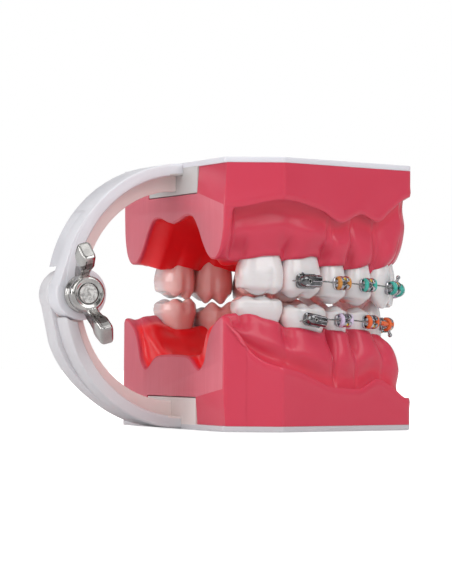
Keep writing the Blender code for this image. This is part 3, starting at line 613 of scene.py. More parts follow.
def tooth_section(jaw, i, height, size=1.0, side=1):
    """Plan ring of a tooth at a height share, and its shares to the midline and outwards."""
    tooth = TEETH[jaw][i]
    centre, mesial, outward, width = tooth_axes(jaw, i, side)
    if is_front(i):
        table = CANINE if tooth.name == "canine" else INCISOR
        wide, face, thick = (curve(table, height, column) for column in (1, 2, 3))
        thick = thick * tooth.depth
        outer = tooth.bulge + face
        power, widest = 0.86, 0.15
    else:
        wide = curve(BACK_SCALE, height)
        thick = tooth.depth * wide
        outer = tooth.bulge - tooth.depth / 2 * (1 - wide)
        power, widest = (0.86, 0.32) if "premolar" in tooth.name else (0.74, 0.50)
    across, deep = squarish(TOOTH_SIDES, power)
    deep = widest + np.where(deep > 0, (1 - widest) * deep, (1 + widest) * deep)
    along = across * (width - 0.06) / 2 * wide \
        * (1 - tooth.taper * np.clip(widest - deep, 0, 2) * 0.62)
    if not is_front(i):
        along = along * (1 + 0.3 * (1 - wide) * across)
    grooved = np.ones(TOOTH_SIDES)
    for place, cheek, depth in GROOVES.get((jaw, tooth.name), ()):
        grooved -= depth * bell(across, place, 0.08 if cheek > 0 else 0.16) \
            * (deep * cheek > 0) * ease(height, 0.18, 0.6)
    middle = outer - thick / 2 + curve(LEAN, height) * tooth.lean
    out = middle + thick / 2 * deep * grooved * size
    plan = centre + mesial * (along * size)[:, None] + outward * out[:, None]
    return plan, across * size, deep * size


def tooth_rings(jaw, i, side):
    tooth = TEETH[jaw][i]
    away = AWAY[jaw]
    crown = abs(tooth.margin - tooth.cusp)
    rings = []

    def add(plan, z):
        rings.append(np.column_stack([plan, np.broadcast_to(z, TOOTH_SIDES)]))

    for height in FRONT_RINGS if is_front(i) else BACK_RINGS:
        plan, across, _ = tooth_section(jaw, i, height, 1.0, side)
        z = tooth.margin - away * crown * height
        if "incisor" in tooth.name and height > 0.5:    # rounded ends of the biting edge
            z = z + away * 0.25 * np.abs(across) ** 4 * ease(height, 0.6, 1.0)
        add(plan, z)
    if is_front(i):
        return np.stack(rings)
    rim = crown * (1 - CROWN_TOP)
    fissure = 1.35 if "premolar" in tooth.name else 1.55
    for size in CHEWING_RINGS:
        plan, across, deep = tooth_section(jaw, i, CROWN_TOP, size, side)
        lift = np.zeros(TOOTH_SIDES)
        for cusp_across, cusp_deep, drop, radius in CUSPS[jaw, tooth.name]:
            if side < 0 and cusp_deep < 0 and tooth.name.endswith("_molar"):
                if abs(cusp_across) < 0.2:
                    continue
                radius, cusp_across = radius * 0.80, cusp_across * 1.04
            mound = np.exp(-(((across - cusp_across) / radius) ** 2
                             + ((deep - cusp_deep) / (radius * 1.05)) ** 2))
            lift += (mound * (1 - drop / fissure)) ** 5
        sink = rim * (1 - (1 - size ** 2.5) ** (1 / 2.5)) \
            + fissure * (1 - lift ** 0.2) * ease(size, 1.03, 0.70)
        add(plan, tooth.cusp + away * sink)
    return np.stack(rings)


def tooth_painted_bounce(jaw, i, side, rings):
    """Share of the inner colour, a painted warm bounce light and shade: more at the tongue side, the
    neck, the ends and fissures.
    """
    tooth = TEETH[jaw][i]
    centre, mesial, outward, width = tooth_axes(jaw, i, side)
    plan, z = rings[..., :2] - centre, rings[..., 2]
    tongue = ease((tooth.bulge - plan @ outward) / tooth.depth, 0.35, 0.75)
    ends = 0.45 * ease(np.abs(plan @ mesial) / (width / 2), 0.80, 1.0)
    neck = 0.16 * (1 - ease(np.abs(z - tooth.margin), 0.0, 1.4))
    bounce_share = 1 - (1 - tongue) * (1 - ends) * (1 - neck)
    if not is_front(i):
        sunk = np.abs(z[HOLLOW_RING:] - tooth.cusp)
        bounce_share[HOLLOW_RING:] = np.maximum(bounce_share[HOLLOW_RING:], 0.8 * ease(sunk, 0.5, 1.3))
    return np.append(bounce_share.ravel(), 0.7).astype(np.float32)


def make_tooth(jaw, i, side):
    rings = tooth_rings(jaw, i, side)
    world = to_world(rings * (1, side, 1))
    bm = bmesh.new()
    rows = loft(bm, [[Vector(place) for place in ring] for ring in world], cap_end=False)
    tip = bm.verts.new(Vector(world[-1].mean(0)))
    for k in range(TOOTH_SIDES):
        bm.faces.new((rows[-1][k], rows[-1][(k + 1) % TOOTH_SIDES], tip))
    ob = from_bm(f"look_{jaw}_{HANDS[side]}_{TEETH[jaw][i].name}", bm, [ENAMEL])
    ob.data.shade_smooth()
    # the inner share is painted warm bounce light and shade on the enamel
    attribute = ob.data.attributes.new("inner", "FLOAT", "POINT")
    attribute.data.foreach_set("value", tooth_painted_bounce(jaw, i, side, rings))
    register(ob, f"{jaw}_jaw")
    return ob


def seat(lower, upper):
    """Lower the points of a lower tooth that stand into the upper tooth."""
    tree = BVHTree.FromPolygons([vertex.co.copy() for vertex in upper.data.vertices],
                                [tuple(face.vertices) for face in upper.data.polygons])
    for vertex in lower.data.vertices:
        start = Vector((vertex.co.x, vertex.co.y, vertex.co.z - SEAT_PROBE * MM))
        hit = tree.ray_cast(start, Vector((0, 0, 1)))[0]
        if hit is not None and vertex.co.z > hit.z - SEAT_GAP * MM:
            vertex.co.z = hit.z - SEAT_GAP * MM


# ---------------------------------------------------------------- gum blocks
# Places along the arch count contact points: 0 behind the second molar, 7 at the midline;
# -1 to 0 is the stretch behind the teeth.
# fold where the wall meets the outer face: x, z
RIDGES = {
    "upper": ((0, 43.7), (1.3, 43.2), (10.8, 44.8), (20.6, 43.1), (25.8, 40.9), (31.1, 42.7),
              (35.5, 41.4), (39.3, 43.9), (44.3, 46.7), (51.0, 46.9)),
    "lower": ((0, 21.5), (2.8, 19.2), (5.0, 15.4), (8.4, 13.1), (15.3, 11.5), (24.8, 8.5),
              (30.6, 8.2), (35.8, 10.2), (39.8, 8.6), (44.1, 6.3), (52.5, 6.2))}
# outer gum margin: place along the arch, z
MARGINS = {
    "upper": ((-0.2, 33.1), (0.0, 33.15), (0.1, 33.27), (0.4, 33.7), (0.61, 34.1), (0.92, 34.2),
              (0.98, 33.6), (1.02, 33.2), (1.16, 33.5), (1.42, 33.7), (1.68, 34.2), (1.89, 34.0),
              (1.97, 33.2), (2.02, 32.25), (2.16, 32.4), (2.53, 32.5), (2.86, 32.6), (3.0, 31.75),
              (3.14, 31.9), (3.35, 32.15), (3.63, 32.65), (3.84, 33.05), (3.94, 32.1),
              (4.0, 31.1), (4.15, 31.95), (4.35, 32.6), (4.6, 33.2), (4.8, 33.5), (5.0, 31.9),
              (5.2, 33.2), (5.5, 33.9), (5.8, 33.3), (6.0, 31.8), (6.2, 33.3), (6.5, 34.1),
              (6.8, 33.5), (7.0, 32.0)),
    "lower": ((-0.2, 22.7), (0.0, 22.8), (0.05, 22.9), (0.3, 22.95), (0.47, 22.6), (0.6, 22.05),
              (0.83, 21.5), (1.0, 21.0), (1.1, 20.35), (1.33, 20.2), (1.6, 19.65), (1.84, 19.3),
              (1.95, 19.6), (2.0, 20.2), (2.2, 19.8), (2.55, 19.65), (2.9, 19.3), (3.0, 20.05),
              (3.15, 20.1), (3.45, 19.95), (3.75, 19.75), (4.0, 19.4), (4.3, 19.0), (4.6, 18.2),
              (4.8, 17.8), (5.0, 18.8), (5.2, 18.0), (5.5, 17.8), (5.8, 18.0), (6.0, 18.9),
              (6.2, 18.0), (6.5, 17.8), (6.8, 18.1), (7.0, 19.0))}
# inner gum margin z at each tooth; rise between the teeth and its width
INNER_MARGINS = {"upper": (32.7, 32.6, 32.4, 32.4, 33.0, 33.0, 33.2),
                 "lower": (19.6, 19.3, 19.4, 19.4, 18.6, 18.4, 18.4)}
INNER_RISE = {"upper": (-0.25, 0.16), "lower": (1.0, 0.22)}
# rear profile from the base to the midline: y, z
REARS = {
    "upper": ((29.3, 51.92), (29.3, 46.0), (29.3, 44.3), (29.3, 43.75), (29.28, 43.2), (29.2, 42.2),
              (29.1, 40.6), (28.3, 37.0), (27.4, 35.3), (26.5, 34.4), (25.7, 33.85),
              (25.2, 33.6), (23.5, 33.35), (21.6, 33.55), (20.0, 34.3), (17.2, 36.6),
              (14.6, 39.5), (11.6, 41.9), (7.5, 42.3), (3.5, 41.5), (0.0, 41.0)),
    "lower": ((29.3, 1.08), (29.3, 18.9), (29.3, 20.7), (29.3, 21.25), (29.15, 21.65), (28.9, 21.98),
              (28.6, 22.2), (27.9, 22.3), (27.0, 22.15), (26.3, 21.95), (25.5, 21.65),
              (24.7, 21.3), (23.8, 20.8), (22.4, 19.9), (21.2, 18.7), (19.8, 16.3),
              (18.4, 13.6), (16.5, 12.2), (9.5, 14.4), (4.5, 14.75), (0.0, 14.8))}
# how far each rear profile point follows the side wall
REAR_FOLLOW = np.array([1, 1, 1, 1, 1, 0.95, 0.85, 0.6, 0.45, 0.3, 0.2, 0.1] + [0.0] * 9)
REAR_EDGE_RADIUS = 0.42
# x at which evenly spaced places along the arch meet the midline
MID_X = (0.0, 3.5, 8.0, 11.5, 14.5, 17.0, 19.5, 21.5, 23.0, 24.2, 25.2, 26.0, 26.6, 27.1, 27.5,
         27.8)
# swelling over each root, and further fullness at the front
EMINENCE = {"upper": (0.30, 0.45, 0.30, 0.50, 1.10, 0.35, 0.45),
            "lower": (0.30, 0.50, 0.40, 0.50, 0.90, 0.30, 0.30)}
FRONT_FULLNESS = {"upper": 0.3, "lower": 1.7}
# grooves between the teeth: place along the arch, depth, width
CREASES = {
    "upper": ((1.05, 0.30, 0.16), (2.02, 0.75, 0.07), (2.16, 0.25, 0.05), (3.0, 0.60, 0.07),
              (3.94, 0.80, 0.07), (4.08, 0.30, 0.05), (5.0, 0.6, 0.1), (6.0, 0.5, 0.1),
              (7.0, 0.7, 0.1)),
    "lower": ((0.98, 0.42, 0.06), (1.12, 0.14, 0.05), (2.06, 0.95, 0.05), (3.02, 0.38, 0.06),
              (3.98, 0.45, 0.07), (5.0, 0.5, 0.1), (6.0, 0.5, 0.1), (7.0, 0.5, 0.1))}
# grid steps between control points, and the grid's places along the arch
STEPS = (7, 3, 3, 3, 3, 5, 8, 10, 9, 5, 4, 4, 5, 5, 5, 8, 8, 7, 7, 6)
STATIONS = np.concatenate([
    -1 + np.array([0, 0.012, 0.03, 0.055, 0.085, 0.12, 0.16, 0.21, 0.27, 0.33, 0.39, 0.45, 0.51,
                   0.57, 0.63, 0.69, 0.75, 0.80, 0.85, 0.90, 0.95]),
    np.linspace(0, 7, 7 * 38 + 1)])
TOOTH_MIDDLES = np.arange(7) + 0.5
SLOT_GAP = 0.2                      # between the gum and the front of the rear block
# slanted facet of the right rear face: z at its inner and outer ends, z beyond the plate
FACETS = {"upper": (46.83, 43.45, 53.5), "lower": (6.402, 8.43, -0.5)}
FACET_Y = (13.6, 30.5)
FACET_DEPTH = 0.55


def arch_curve(jaw):
    """Points of the contact line at the stations and its smoothed outward directions."""
    contacts = CONTACTS[jaw]
    knots = np.array([(-contacts[1][0] * 0.9, 24.6), (0.0, 25.0)] + contacts
                     + [(x, -y) for x, y in contacts[-2:-4:-1]])
    fine = np.linspace(-1, 7, 1601)
    k = np.clip(np.floor(fine).astype(int) + 2, 1, len(knots) - 3)
    line = hermite((fine - (k - 2))[:, None], knots[k], knots[k + 1],
                   (knots[k + 1] - knots[k - 1]) / 2, (knots[k + 2] - knots[k]) / 2)
    heading = np.gradient(line, axis=0)
    angle = np.unwrap(np.arctan2(heading[:, 1], heading[:, 0])) + np.pi / 2
    # mirrored ends: straight out to the side at the rear, straight forward at the midline
    reach = 140
    padded = np.concatenate([np.pi - angle[1:reach + 1][::-1], angle,
                             -angle[-reach - 1:-1][::-1]])
    weights = bell(np.arange(-reach, reach + 1), 0, 62.0)
    angle = np.convolve(padded, weights / weights.sum(), mode="valid")
    places = np.stack([np.interp(STATIONS, fine, line[:, axis]) for axis in (0, 1)], 1)
    angle = np.interp(STATIONS, fine, angle)
    return places, np.stack([np.cos(angle), np.sin(angle)], 1)


def ray_hits(start, direction, line):
    """Distances at which a plan ray, taken both ways, crosses a polyline."""
    edges = line[1:] - line[:-1]
    cross = direction[0] * edges[:, 1] - direction[1] * edges[:, 0]
    cross = np.where(np.abs(cross) < 1e-12, 1e-12, cross)
    gap = line[:-1] - start
    distance = (gap[:, 0] * edges[:, 1] - gap[:, 1] * edges[:, 0]) / cross
    share = (gap[:, 0] * direction[1] - gap[:, 1] * direction[0]) / cross
    return distance[(share >= 0) & (share <= 1)]


def wall_reach(jaw, line, normal):
    """Distance from the contact line to the outer wall at each station."""
    outline = np.array(jaw_outline(jaw))
    outline = outline[outline[:, 1] > -12]
    reach = np.full(len(line), np.nan)
    for k in range(len(line)):
        hits = ray_hits(line[k], normal[k], outline)
        hits = hits[hits > 0.5]
        if len(hits):
            reach[k] = hits.min()
    good = ~np.isnan(reach)
    reach = np.interp(STATIONS, STATIONS[good], reach[good])
    reach[0] = REAR_HALF - line[0, 1]
    return reach


def tooth_edges(jaw, line, normal):
    """Distances from the contact line to the outer and inner faces of the teeth."""
    sections = [tooth_section(jaw, i, 0.06)[0] for i in range(7)]
    sections.append(sections[6] * (1, -1))
    outer, inner = np.full(len(line), np.nan), np.full(len(line), np.nan)
    for k, station in enumerate(STATIONS):
        for i, ring in enumerate(sections):
            if abs(i + 0.5 - station) > 1.1:
                continue
            hits = ray_hits(line[k], normal[k], np.vstack([ring, ring[:1]]))
            if len(hits) > 1:
                outer[k] = np.fmax(outer[k], hits.max())
                inner[k] = np.fmin(inner[k], hits.min())
    # between the teeth the gum dips in only so far
    middle_outer, middle_inner = (
        np.interp(STATIONS, TOOTH_MIDDLES, np.interp(TOOTH_MIDDLES, STATIONS, edge))
        for edge in (outer, inner))
    outer = np.fmax(outer, middle_outer - 1.75)
    inner = np.fmin(inner, middle_inner + 1.3)
    behind = STATIONS < 0
    outer[behind], inner[behind] = outer[~behind][0], inner[~behind][0]
    return gauss_filter(outer, 1.3) + 0.26, gauss_filter(inner, 1.5) - 0.22


def gum_controls(jaw):
    """Control points of the right half: stations by points from the base to the midline."""
    away = AWAY[jaw]
    along = STATIONS
    line, normal = arch_curve(jaw)
    reach = wall_reach(jaw, line, normal)
    outer, inner = tooth_edges(jaw, line, normal)
    ridge = curve(RIDGES[jaw], line[:, 0] + normal[:, 0] * reach)
    ridge[0] = RIDGES[jaw][0][1]
    margin = curve(MARGINS[jaw], along)
    bulge = np.interp(along, TOOTH_MIDDLES, [tooth.bulge for tooth in TEETH[jaw]])
    roots = sum(size * bell(along, i + 0.5, 0.36) for i, size in enumerate(EMINENCE[jaw]))
    crease = sum(depth * bell(along, place, width) for place, depth, width in CREASES[jaw])
    wide_crease = sum(depth * 0.45 * bell(along, place, width * 2.4)
                      for place, depth, width in CREASES[jaw])
    nearest = np.array([abs(along - k) for k in range(8)]).min(0)
    rise, rise_width = INNER_RISE[jaw]
    inner_margin = np.interp(along, TOOTH_MIDDLES, INNER_MARGINS[jaw]) \
        + rise * bell(nearest, 0, rise_width)
    front = ease(along, 3.5, 4.5)
    full = FRONT_FULLNESS[jaw] * front
    shoulder = np.minimum(bulge + 1.15 + full * 1.4, reach - 1.6 + 0.5 * front)
    swell = np.minimum(bulge + 1.15 + roots + full, reach - 0.9) - crease * 0.6 - wide_crease
    mid_x = np.interp(along, np.arange(-1, 7.01, 8 / 15), MID_X)
    body = ridge - margin
    frontal = np.clip(line[:, 0] / 46.0, 0, 1)
    if jaw == "upper":
        vault = 43.5 - 3.0 * frontal ** 3
        gentle = np.zeros(len(along))
    else:
        vault = 14.6 - 1.0 * frontal
        gentle = 1 - ease(along, 0.0, 1.2)
    behind = along < 0
    calm_inner, calm_margin = gauss_filter(inner, 22.0), gauss_filter(inner_margin, 22.0)
    calm_inner[behind], calm_margin[behind] = calm_inner[~behind][0], calm_margin[~behind][0]

    def at(out, z):
        return np.column_stack([line + normal * out[:, None], np.broadcast_to(z, len(along))])

    def to_middle(share, z, calm):
        """A share of the way to the midline, with the scallops of the margin calmed."""
        start = line + normal * (inner - 0.35 + (calm_inner - inner) * calm)[:, None]
        return np.stack([start[:, 0] + (mid_x - start[:, 0]) * share, start[:, 1] * (1 - share),
                         z + (calm_margin - inner_margin) * calm * (1 - share)], 1)

    low = inner_margin + away * 0.7
    climb = vault - low
    controls = np.stack([
        # wall and fold
        at(reach, REARS[jaw][0][1]),
        at(reach, ridge + 2.2 * away),
        at(reach, ridge + 0.32 * away),
        at(reach - 0.14, ridge),
        at(reach - 0.60, ridge + 0.22 * away),
        # outer face
        at(shoulder + (reach - shoulder) * (0.28 + 0.3 * gentle),
           ridge + 0.55 * away + gentle * 1.2),
        at(shoulder - 0.2 - crease * 0.35, ridge - 1.5 * away + gentle * 0.9),
        at(swell, margin + body * 0.52),
        at(outer + 0.62 + roots * 0.3 + full * 0.45 - crease * 0.75, margin + 1.35 * away),
        at(outer + 0.36 - crease * 0.45, margin + 0.38 * away),
        # outer margin, under the teeth, inner margin
        at(outer - 0.04 - crease * 0.25, margin),
        at(outer - 0.65, margin + 0.15 * away),
        at((outer + inner) / 2, margin * 0.5 + inner_margin * 0.5 + 0.1 * away),
        at(inner + 0.15, inner_margin),
        at(inner - 0.30, inner_margin + 0.55 * away),
        # inner face
        to_middle(0.12, low + climb * 0.25, 0.6),
        to_middle(0.27, low + climb * 0.60, 1.0),
        to_middle(0.44, low + climb * 0.84, 1.0),
        to_middle(0.62, low + climb * 0.96, 1.0),
        to_middle(0.82, vault - away * 0.03, 1.0),
        to_middle(1.0, vault, 1.0)], 1)

    # blend into the rear profile behind the teeth, but keep the wall
    rear = np.array([(0.0, y, z) for y, z in REARS[jaw]])
    shifted = np.repeat(rear[None], len(along), 0)
    shifted[..., 0] += line[:, :1]
    wall_move = line[:, 1] + normal[:, 1] * reach - REAR_HALF
    shifted[:, :, 1] += wall_move[:, None] * REAR_FOLLOW
    shifted[:, :7, 2] += (ridge - ridge[0])[:, None] * np.array((0, 1, 1, 1, 1, 0.9, 0.6))
    shifted[:, -1, 0] = mid_x
    shifted[:, -2, 0] = mid_x * 0.85 + line[:, 0] * 0.15
    weight = (1 - ease(along, -0.97, -0.12))[:, None, None]
    wall = controls[:, :3].copy()
    controls = controls * (1 - weight) + shifted * weight
    controls[:, :3] = wall
    controls[0] = rear
    return controls


def gum_grid(jaw):
    grid = spline_rows(gum_controls(jaw), STEPS)
    # round the edge to the rear plane
    tangent = np.gradient(grid[0][:, 1:], axis=0)
    tangent /= np.linalg.norm(tangent, axis=1)[:, None] + 1e-9
    inward = AWAY[jaw] * np.stack([tangent[:, 1], -tangent[:, 0]], 1)
    inward[:, 0] *= ease(np.abs(grid[0][:, 1]), 0.0, 0.6)
    near = np.clip(grid[..., 0] / REAR_EDGE_RADIUS, 0, 1)
    inset = REAR_EDGE_RADIUS * (1 - np.sqrt(1 - (1 - near) ** 2))
    grid[..., 1:] += inset[..., None] * inward
    grid[:, 0, 2] = REARS[jaw][0][1]
    grid[-1, :, 1] = 0.0
    grid[:, -1, 1] = 0.0
    return grid


def gum_painted_bounce(grid):
    """Share of the inner colour, painted bounce light and shade: past the outer margin, and a faint
    band in the shaded cove along the fold.
    """
    row = np.arange(grid.shape[1])
    past_margin = ease(row, sum(STEPS[:11]), sum(STEPS[:13]))
    offset = row - sum(STEPS[:6]) + 0.5
    fold = 0.26 * bell(offset, 0, np.where(offset < 0, 3.4, 5.0))
    return (np.maximum(past_margin, fold) * ease(grid[..., 0], 0.15, 1.2)).ravel()


def gum_facet(jaw):
    inner_z, outer_z, far_z = FACETS[jaw]
    near_y, far_y = FACET_Y
    corners = [(0.0, near_y, inner_z), (0.0, far_y, outer_z), (FACET_DEPTH, far_y, far_z),
               (FACET_DEPTH, near_y, far_z)]
    corners += [(-2, y, z) for _, y, z in corners]
    bm = bmesh.new()
    verts = [bm.verts.new(point(*corner)) for corner in corners]
    for face in ((0, 1, 2, 3), (4, 7, 6, 5), (0, 4, 5, 1), (3, 2, 6, 7), (1, 5, 6, 2),
                 (0, 3, 7, 4)):
        bm.faces.new([verts[k] for k in face])
    return from_bm("facet", bm, [RESIN])


def make_gum(jaw):
    grid = gum_grid(jaw)
    stations, rows = grid.shape[:2]
    half = stations * rows
    world = np.concatenate([to_world(grid * (1, side, 1)).reshape(-1, 3) for side in HANDS])
    i, j = np.meshgrid(np.arange(stations - 1), np.arange(rows - 1), indexing="ij")
    first = (i * rows + j).ravel()
    quads = np.stack([first, first + 1, first + rows + 1, first + rows], 1)
    rear = list(range(rows)) + [half + k for k in range(rows - 2, -1, -1)]
    base = [k * rows for k in range(stations)] \
        + [half + k * rows for k in range(stations - 2, -1, -1)]
    faces = np.concatenate([quads, quads[:, ::-1] + half]).tolist() + [rear, base]
    mesh = bpy.data.meshes.new(f"look_{jaw}_gum_block")
    mesh.from_pydata([tuple(place) for place in world], [], faces)
    mesh.validate()
    ob = new_object(mesh.name, mesh, [RESIN, TRIMMED])
    mesh.polygons.foreach_set("material_index",
                              np.array([0] * (len(faces) - 2) + [1, 0], np.int32))
    # the inner share is painted bounce light and shade on the gum
    attribute = mesh.attributes.new("inner", "FLOAT", "POINT")
    attribute.data.foreach_set("value", np.tile(gum_painted_bounce(grid), 2).astype(np.float32))
    bm = bmesh.new()
    bm.from_mesh(mesh)
    bmesh.ops.remove_doubles(bm, verts=bm.verts, dist=2e-6)
    bmesh.ops.dissolve_degenerate(bm, edges=bm.edges, dist=1e-6)
    bmesh.ops.recalc_face_normals(bm, faces=bm.faces)
    bm.to_mesh(mesh)
    bm.free()
    # slot for the rear block, then the facet of the rear face
    low, high = (HEIGHT - BLOCK_H - 0.18, HEIGHT + 1) if jaw == "upper" else (-1, BLOCK_H + 0.18)
    front = BLOCK_D + SLOT_GAP
    combine(ob, prism("slot", [(-2, low), (front, low), (front, high), (-2, high)],
                      -BLOCK_W - 0.22, BLOCK_W + 0.22, RESIN))
    combine(ob, gum_facet(jaw))
    shade(ob, 32)
    register(ob, f"{jaw}_jaw")


# ---------------------------------------------------------------- frame: plate, block, arm
ARM_X, ARM_Z = 24.6, 26.4           # half axes of the arms' elliptical outer face
WEB_W, WEB_D, WEB_OFFSET = 1.0, 3.0, 0.9        # web: half width, depth, distance off middle
LOBE_R, BORE_R = 5.2, 2.25
RELIEF_GAP = {"upper": 1.1, "lower": 0.45}      # around the other jaw's lobe
# thicker end of the arm at its lobe: first and last angle, growth, radius it runs out to
FLARES = {"upper": (48, 68, 0.35, 4.95), "lower": (31, 70, 1.1, 5.0)}
FLARE_Y = {"upper": (0.12, FLANGE_W - 0.1), "lower": (-FLANGE_W + 0.02, -0.12)}


def hinge_circle(radius, sides, turn=0.0):
    return [(HINGE_X + x, HINGE_Z + z) for x, z in circle(radius, sides, turn)]


def arm_point(jaw, inset, degrees):
    """(x, z) on the arm's ellipse, at an angle from upright."""
    angle = math.radians(degrees)
    return (-(ARM_X - inset) * math.sin(angle),
            OCCLUSAL_Z + AWAY[jaw] * (ARM_Z - inset) * math.cos(angle))


def arm_outline(jaw, outer_inset, inner_inset, start, end):
    angles = [start + (end - start) * k / 90 for k in range(91)]
    return [arm_point(jaw, outer_inset, angle) for angle in angles] \
        + [arm_point(jaw, inner_inset, angle) for angle in angles[::-1]]


def flare_outline(jaw):
    """End of an arm that runs out tangent to its hinge lobe."""
    first, last, growth, radius = FLARES[jaw]
    angles = [first + (last - first) * k / 40 for k in range(41)]
    outline = [arm_point(jaw, 0.03 - growth * float(ease(angle, first, last)), angle)
               for angle in angles]
    x, z = outline[-1][0] - HINGE_X, outline[-1][1] - HINGE_Z
    tangent = math.atan2(z, x) + math.acos(radius / math.hypot(x, z)) * AWAY[jaw]
    outline.append((HINGE_X + radius * math.cos(tangent), HINGE_Z + radius * math.sin(tangent)))
    outline.append((HINGE_X, HINGE_Z))
    return outline + [arm_point(jaw, 1.2, last - 2 + (first - last + 3) * k / 19)
                      for k in range(20)]


def make_arm(jaw):
    side = AWAY[jaw]                # the upper lobe is on the right, the lower on the left
    arm = prism("flange", arm_outline(jaw, 0.02, FLANGE_T, -2.5, 92), -FLANGE_W, FLANGE_W,
                WHITE, bevel=0.42, segments=4)
    combine(arm, prism("flare", flare_outline(jaw), *FLARE_Y[jaw], WHITE, bevel=0.3), "UNION")
    web_y = side * WEB_OFFSET
    combine(arm, prism("web", arm_outline(jaw, FLANGE_T - 0.3, FLANGE_T + WEB_D, -2.5, 84),
                       web_y - WEB_W, web_y + WEB_W, WHITE, bevel=0.25), "UNION")
    # room for the other jaw's lobe
    other = (-0.1, FLANGE_W + 1) if side < 0 else (-FLANGE_W - 1, 0.1)
    combine(arm, prism("relief", hinge_circle(LOBE_R + RELIEF_GAP[jaw], 96), *other, WHITE))
    low, high = (HINGE_Z - 8, HINGE_Z) if jaw == "upper" else (HINGE_Z, HINGE_Z + 8)
    combine(arm, prism("trim", [(HINGE_X - 8, low), (HINGE_X + 8, low), (HINGE_X + 8, high),
                                (HINGE_X - 8, high)], *other, WHITE))
    lobe_y = (0.12, FLANGE_W - 0.15) if side > 0 else (-FLANGE_W + 0.15, -0.12)
    lobe = lofted("lobe", [[point(x, y, z) for x, z in hinge_circle(LOBE_R, 96, 0.05)]
                           for y in lobe_y], [WHITE])
    combine(arm, bevelled(lobe, 0.4, segments=4, degrees=40), "UNION")
    return combine(arm, prism("bore", hinge_circle(BORE_R, 48), -9, 9, WHITE))


def make_frame(jaw):
    upper = jaw == "upper"
    plate_z = (HEIGHT - PLATE, HEIGHT) if upper else (0.0, PLATE)
    ob = lofted("plate", [[point(x, y, z) for x, y in jaw_outline(jaw)] for z in plate_z],
                [WHITE])
    bevelled(ob, 0.15, segments=3, degrees=50)
    low, high = (HEIGHT - BLOCK_H, HEIGHT - 0.3) if upper else (0.3, BLOCK_H)
    block = lofted("block", [[point(x, y, z) for x, z in ((0.01, low), (BLOCK_D, low),
                                                          (BLOCK_D, high), (0.01, high))]
                             for y in (-BLOCK_W, BLOCK_W)], [WHITE])
    combine(ob, bevelled(block, 0.18, segments=3, degrees=40), "UNION")
    combine(ob, make_arm(jaw), "UNION")
    ob.name = ob.data.name = f"look_{jaw}_frame"
    ob.data.materials.clear()
    for look in FRAME_LOOKS[jaw]:
        ob.data.materials.append(look)
    # the webs, the rear blocks and the lower arm and plate take copies of the white plastic with
    # painted bounce light or painted shade
    arm, web, rear_block, plate = range(4)
    inside_x, inside_z = ARM_X - FLANGE_T - 0.06, ARM_Z - FLANGE_T - 0.06
    for face in ob.data.polygons:
        x, y, z = from_world(face.center)
        on_plate = z > HEIGHT - PLATE - 0.01 if upper else z < PLATE + 0.01
        if abs(y - AWAY[jaw] * WEB_OFFSET) < WEB_W + 0.02 and x < -0.02 \
                and (x / inside_x) ** 2 + ((z - OCCLUSAL_Z) / inside_z) ** 2 < 1:
            face.material_index = web
        elif x < -2.6:
            face.material_index = arm
        else:
            face.material_index = plate if on_plate else rear_block
    shade(ob, 32)
    register(ob, f"{jaw}_jaw")


# ---------------------------------------------------------------- bolt and wing nut
NUT_Y = FLANGE_W + 0.15             # seats of the nut and, on the left, of the bolt head
BOLT_END = 10.2
HEAD_FLAT = 3.12                    # half the width across flats
# bolt tip: distance y from the bolt's end, radius
BOLT_TIP = ((-0.42, 1.97), (-0.12, 1.97), (-0.03, 1.94), (0.0, 1.87), (-0.01, 1.80),
            (-0.07, 1.74), (-0.08, 0.9), (-0.07, 0.3))
# hexagon head with a chamfered face: y off the seat, radius, share of the hexagon
HEAD = ((0.0, 3.3, 0.0), (-0.12, 3.55, 1.0), (-2.3, 3.55, 1.0), (-2.6, 3.35, 0.7),
        (-2.83, 2.9, 0.15), (-2.85, 2.6, 0.0), (-2.77, 1.2, 0.0))
# hub: y off the seat, radius
HUB = ((0.0, 3.2), (0.0, 3.6), (0.15, 3.78), (0.5, 3.86), (0.9, 3.82), (1.25, 3.72),
       (1.5, 3.52), (1.65, 3.44), (2.2, 3.5), (3.0, 3.56), (3.6, 3.52), (3.95, 3.42),
       (4.2, 3.2), (4.3, 2.9), (4.22, 2.6), (4.1, 2.35))
NUT_TILT = math.radians(105)
# ear: distance from the axis, y off the seat, half width, half thickness
EAR = ((1.8, 2.1, 1.4, 1.25), (3.0, 2.3, 1.45, 1.22), (4.0, 3.0, 1.45, 1.15),
       (4.9, 4.1, 1.5, 1.12), (5.8, 5.4, 1.75, 1.2), (6.4, 6.2, 2.1, 1.38),
       (6.8, 6.8, 2.25, 1.45), (8.2, 8.8, 2.15, 1.38), (8.55, 9.3, 1.95, 1.25),
       (8.62, 9.4, 1.5, 0.9))


def hinge_ring(y, radius, sides=64):
    return [point(x, y, z) for x, z in hinge_circle(radius, sides)]


def hinge_distance(x, z):
    return math.hypot(x - HINGE_X, z - HINGE_Z)


def make_bolt():
    y = -FLANGE_W + 0.4
    profile = [(-NUT_Y, 1.9), (y, 1.93)]
    while y < BOLT_END - 0.75:      # rolled thread
        profile += [(y + 0.14, 1.96), (y + 0.32, 1.84), (y + 0.5, 1.96)]
        y += 0.5
    profile += [(BOLT_END + offset, radius) for offset, radius in BOLT_TIP]
    shaft = lofted("shaft", [hinge_ring(y, radius) for y, radius in profile], [NICKEL, CAST],
                   sharp=35)
    for face in shaft.data.polygons:
        x, y, z = from_world(face.center)
        face.material_index = int(y > BOLT_END - 0.1 and hinge_distance(x, z) < 1.78)
    rings = []
    for offset, radius, hexed in HEAD:
        ring = []
        for k in range(96):
            angle = 2 * math.pi * k / 96
            flat = HEAD_FLAT / math.cos((angle % (math.pi / 3)) - math.pi / 6)
            size = radius * (1 - hexed) + min(flat, radius) * hexed
            ring.append(point(HINGE_X + size * math.cos(angle), -NUT_Y + offset,
                              HINGE_Z + size * math.sin(angle)))
        rings.append(ring)
    head = lofted("head", rings, [NICKEL], sharp=28)
    register(join("look_hinge_bolt", [shaft, head]), "lower_jaw")


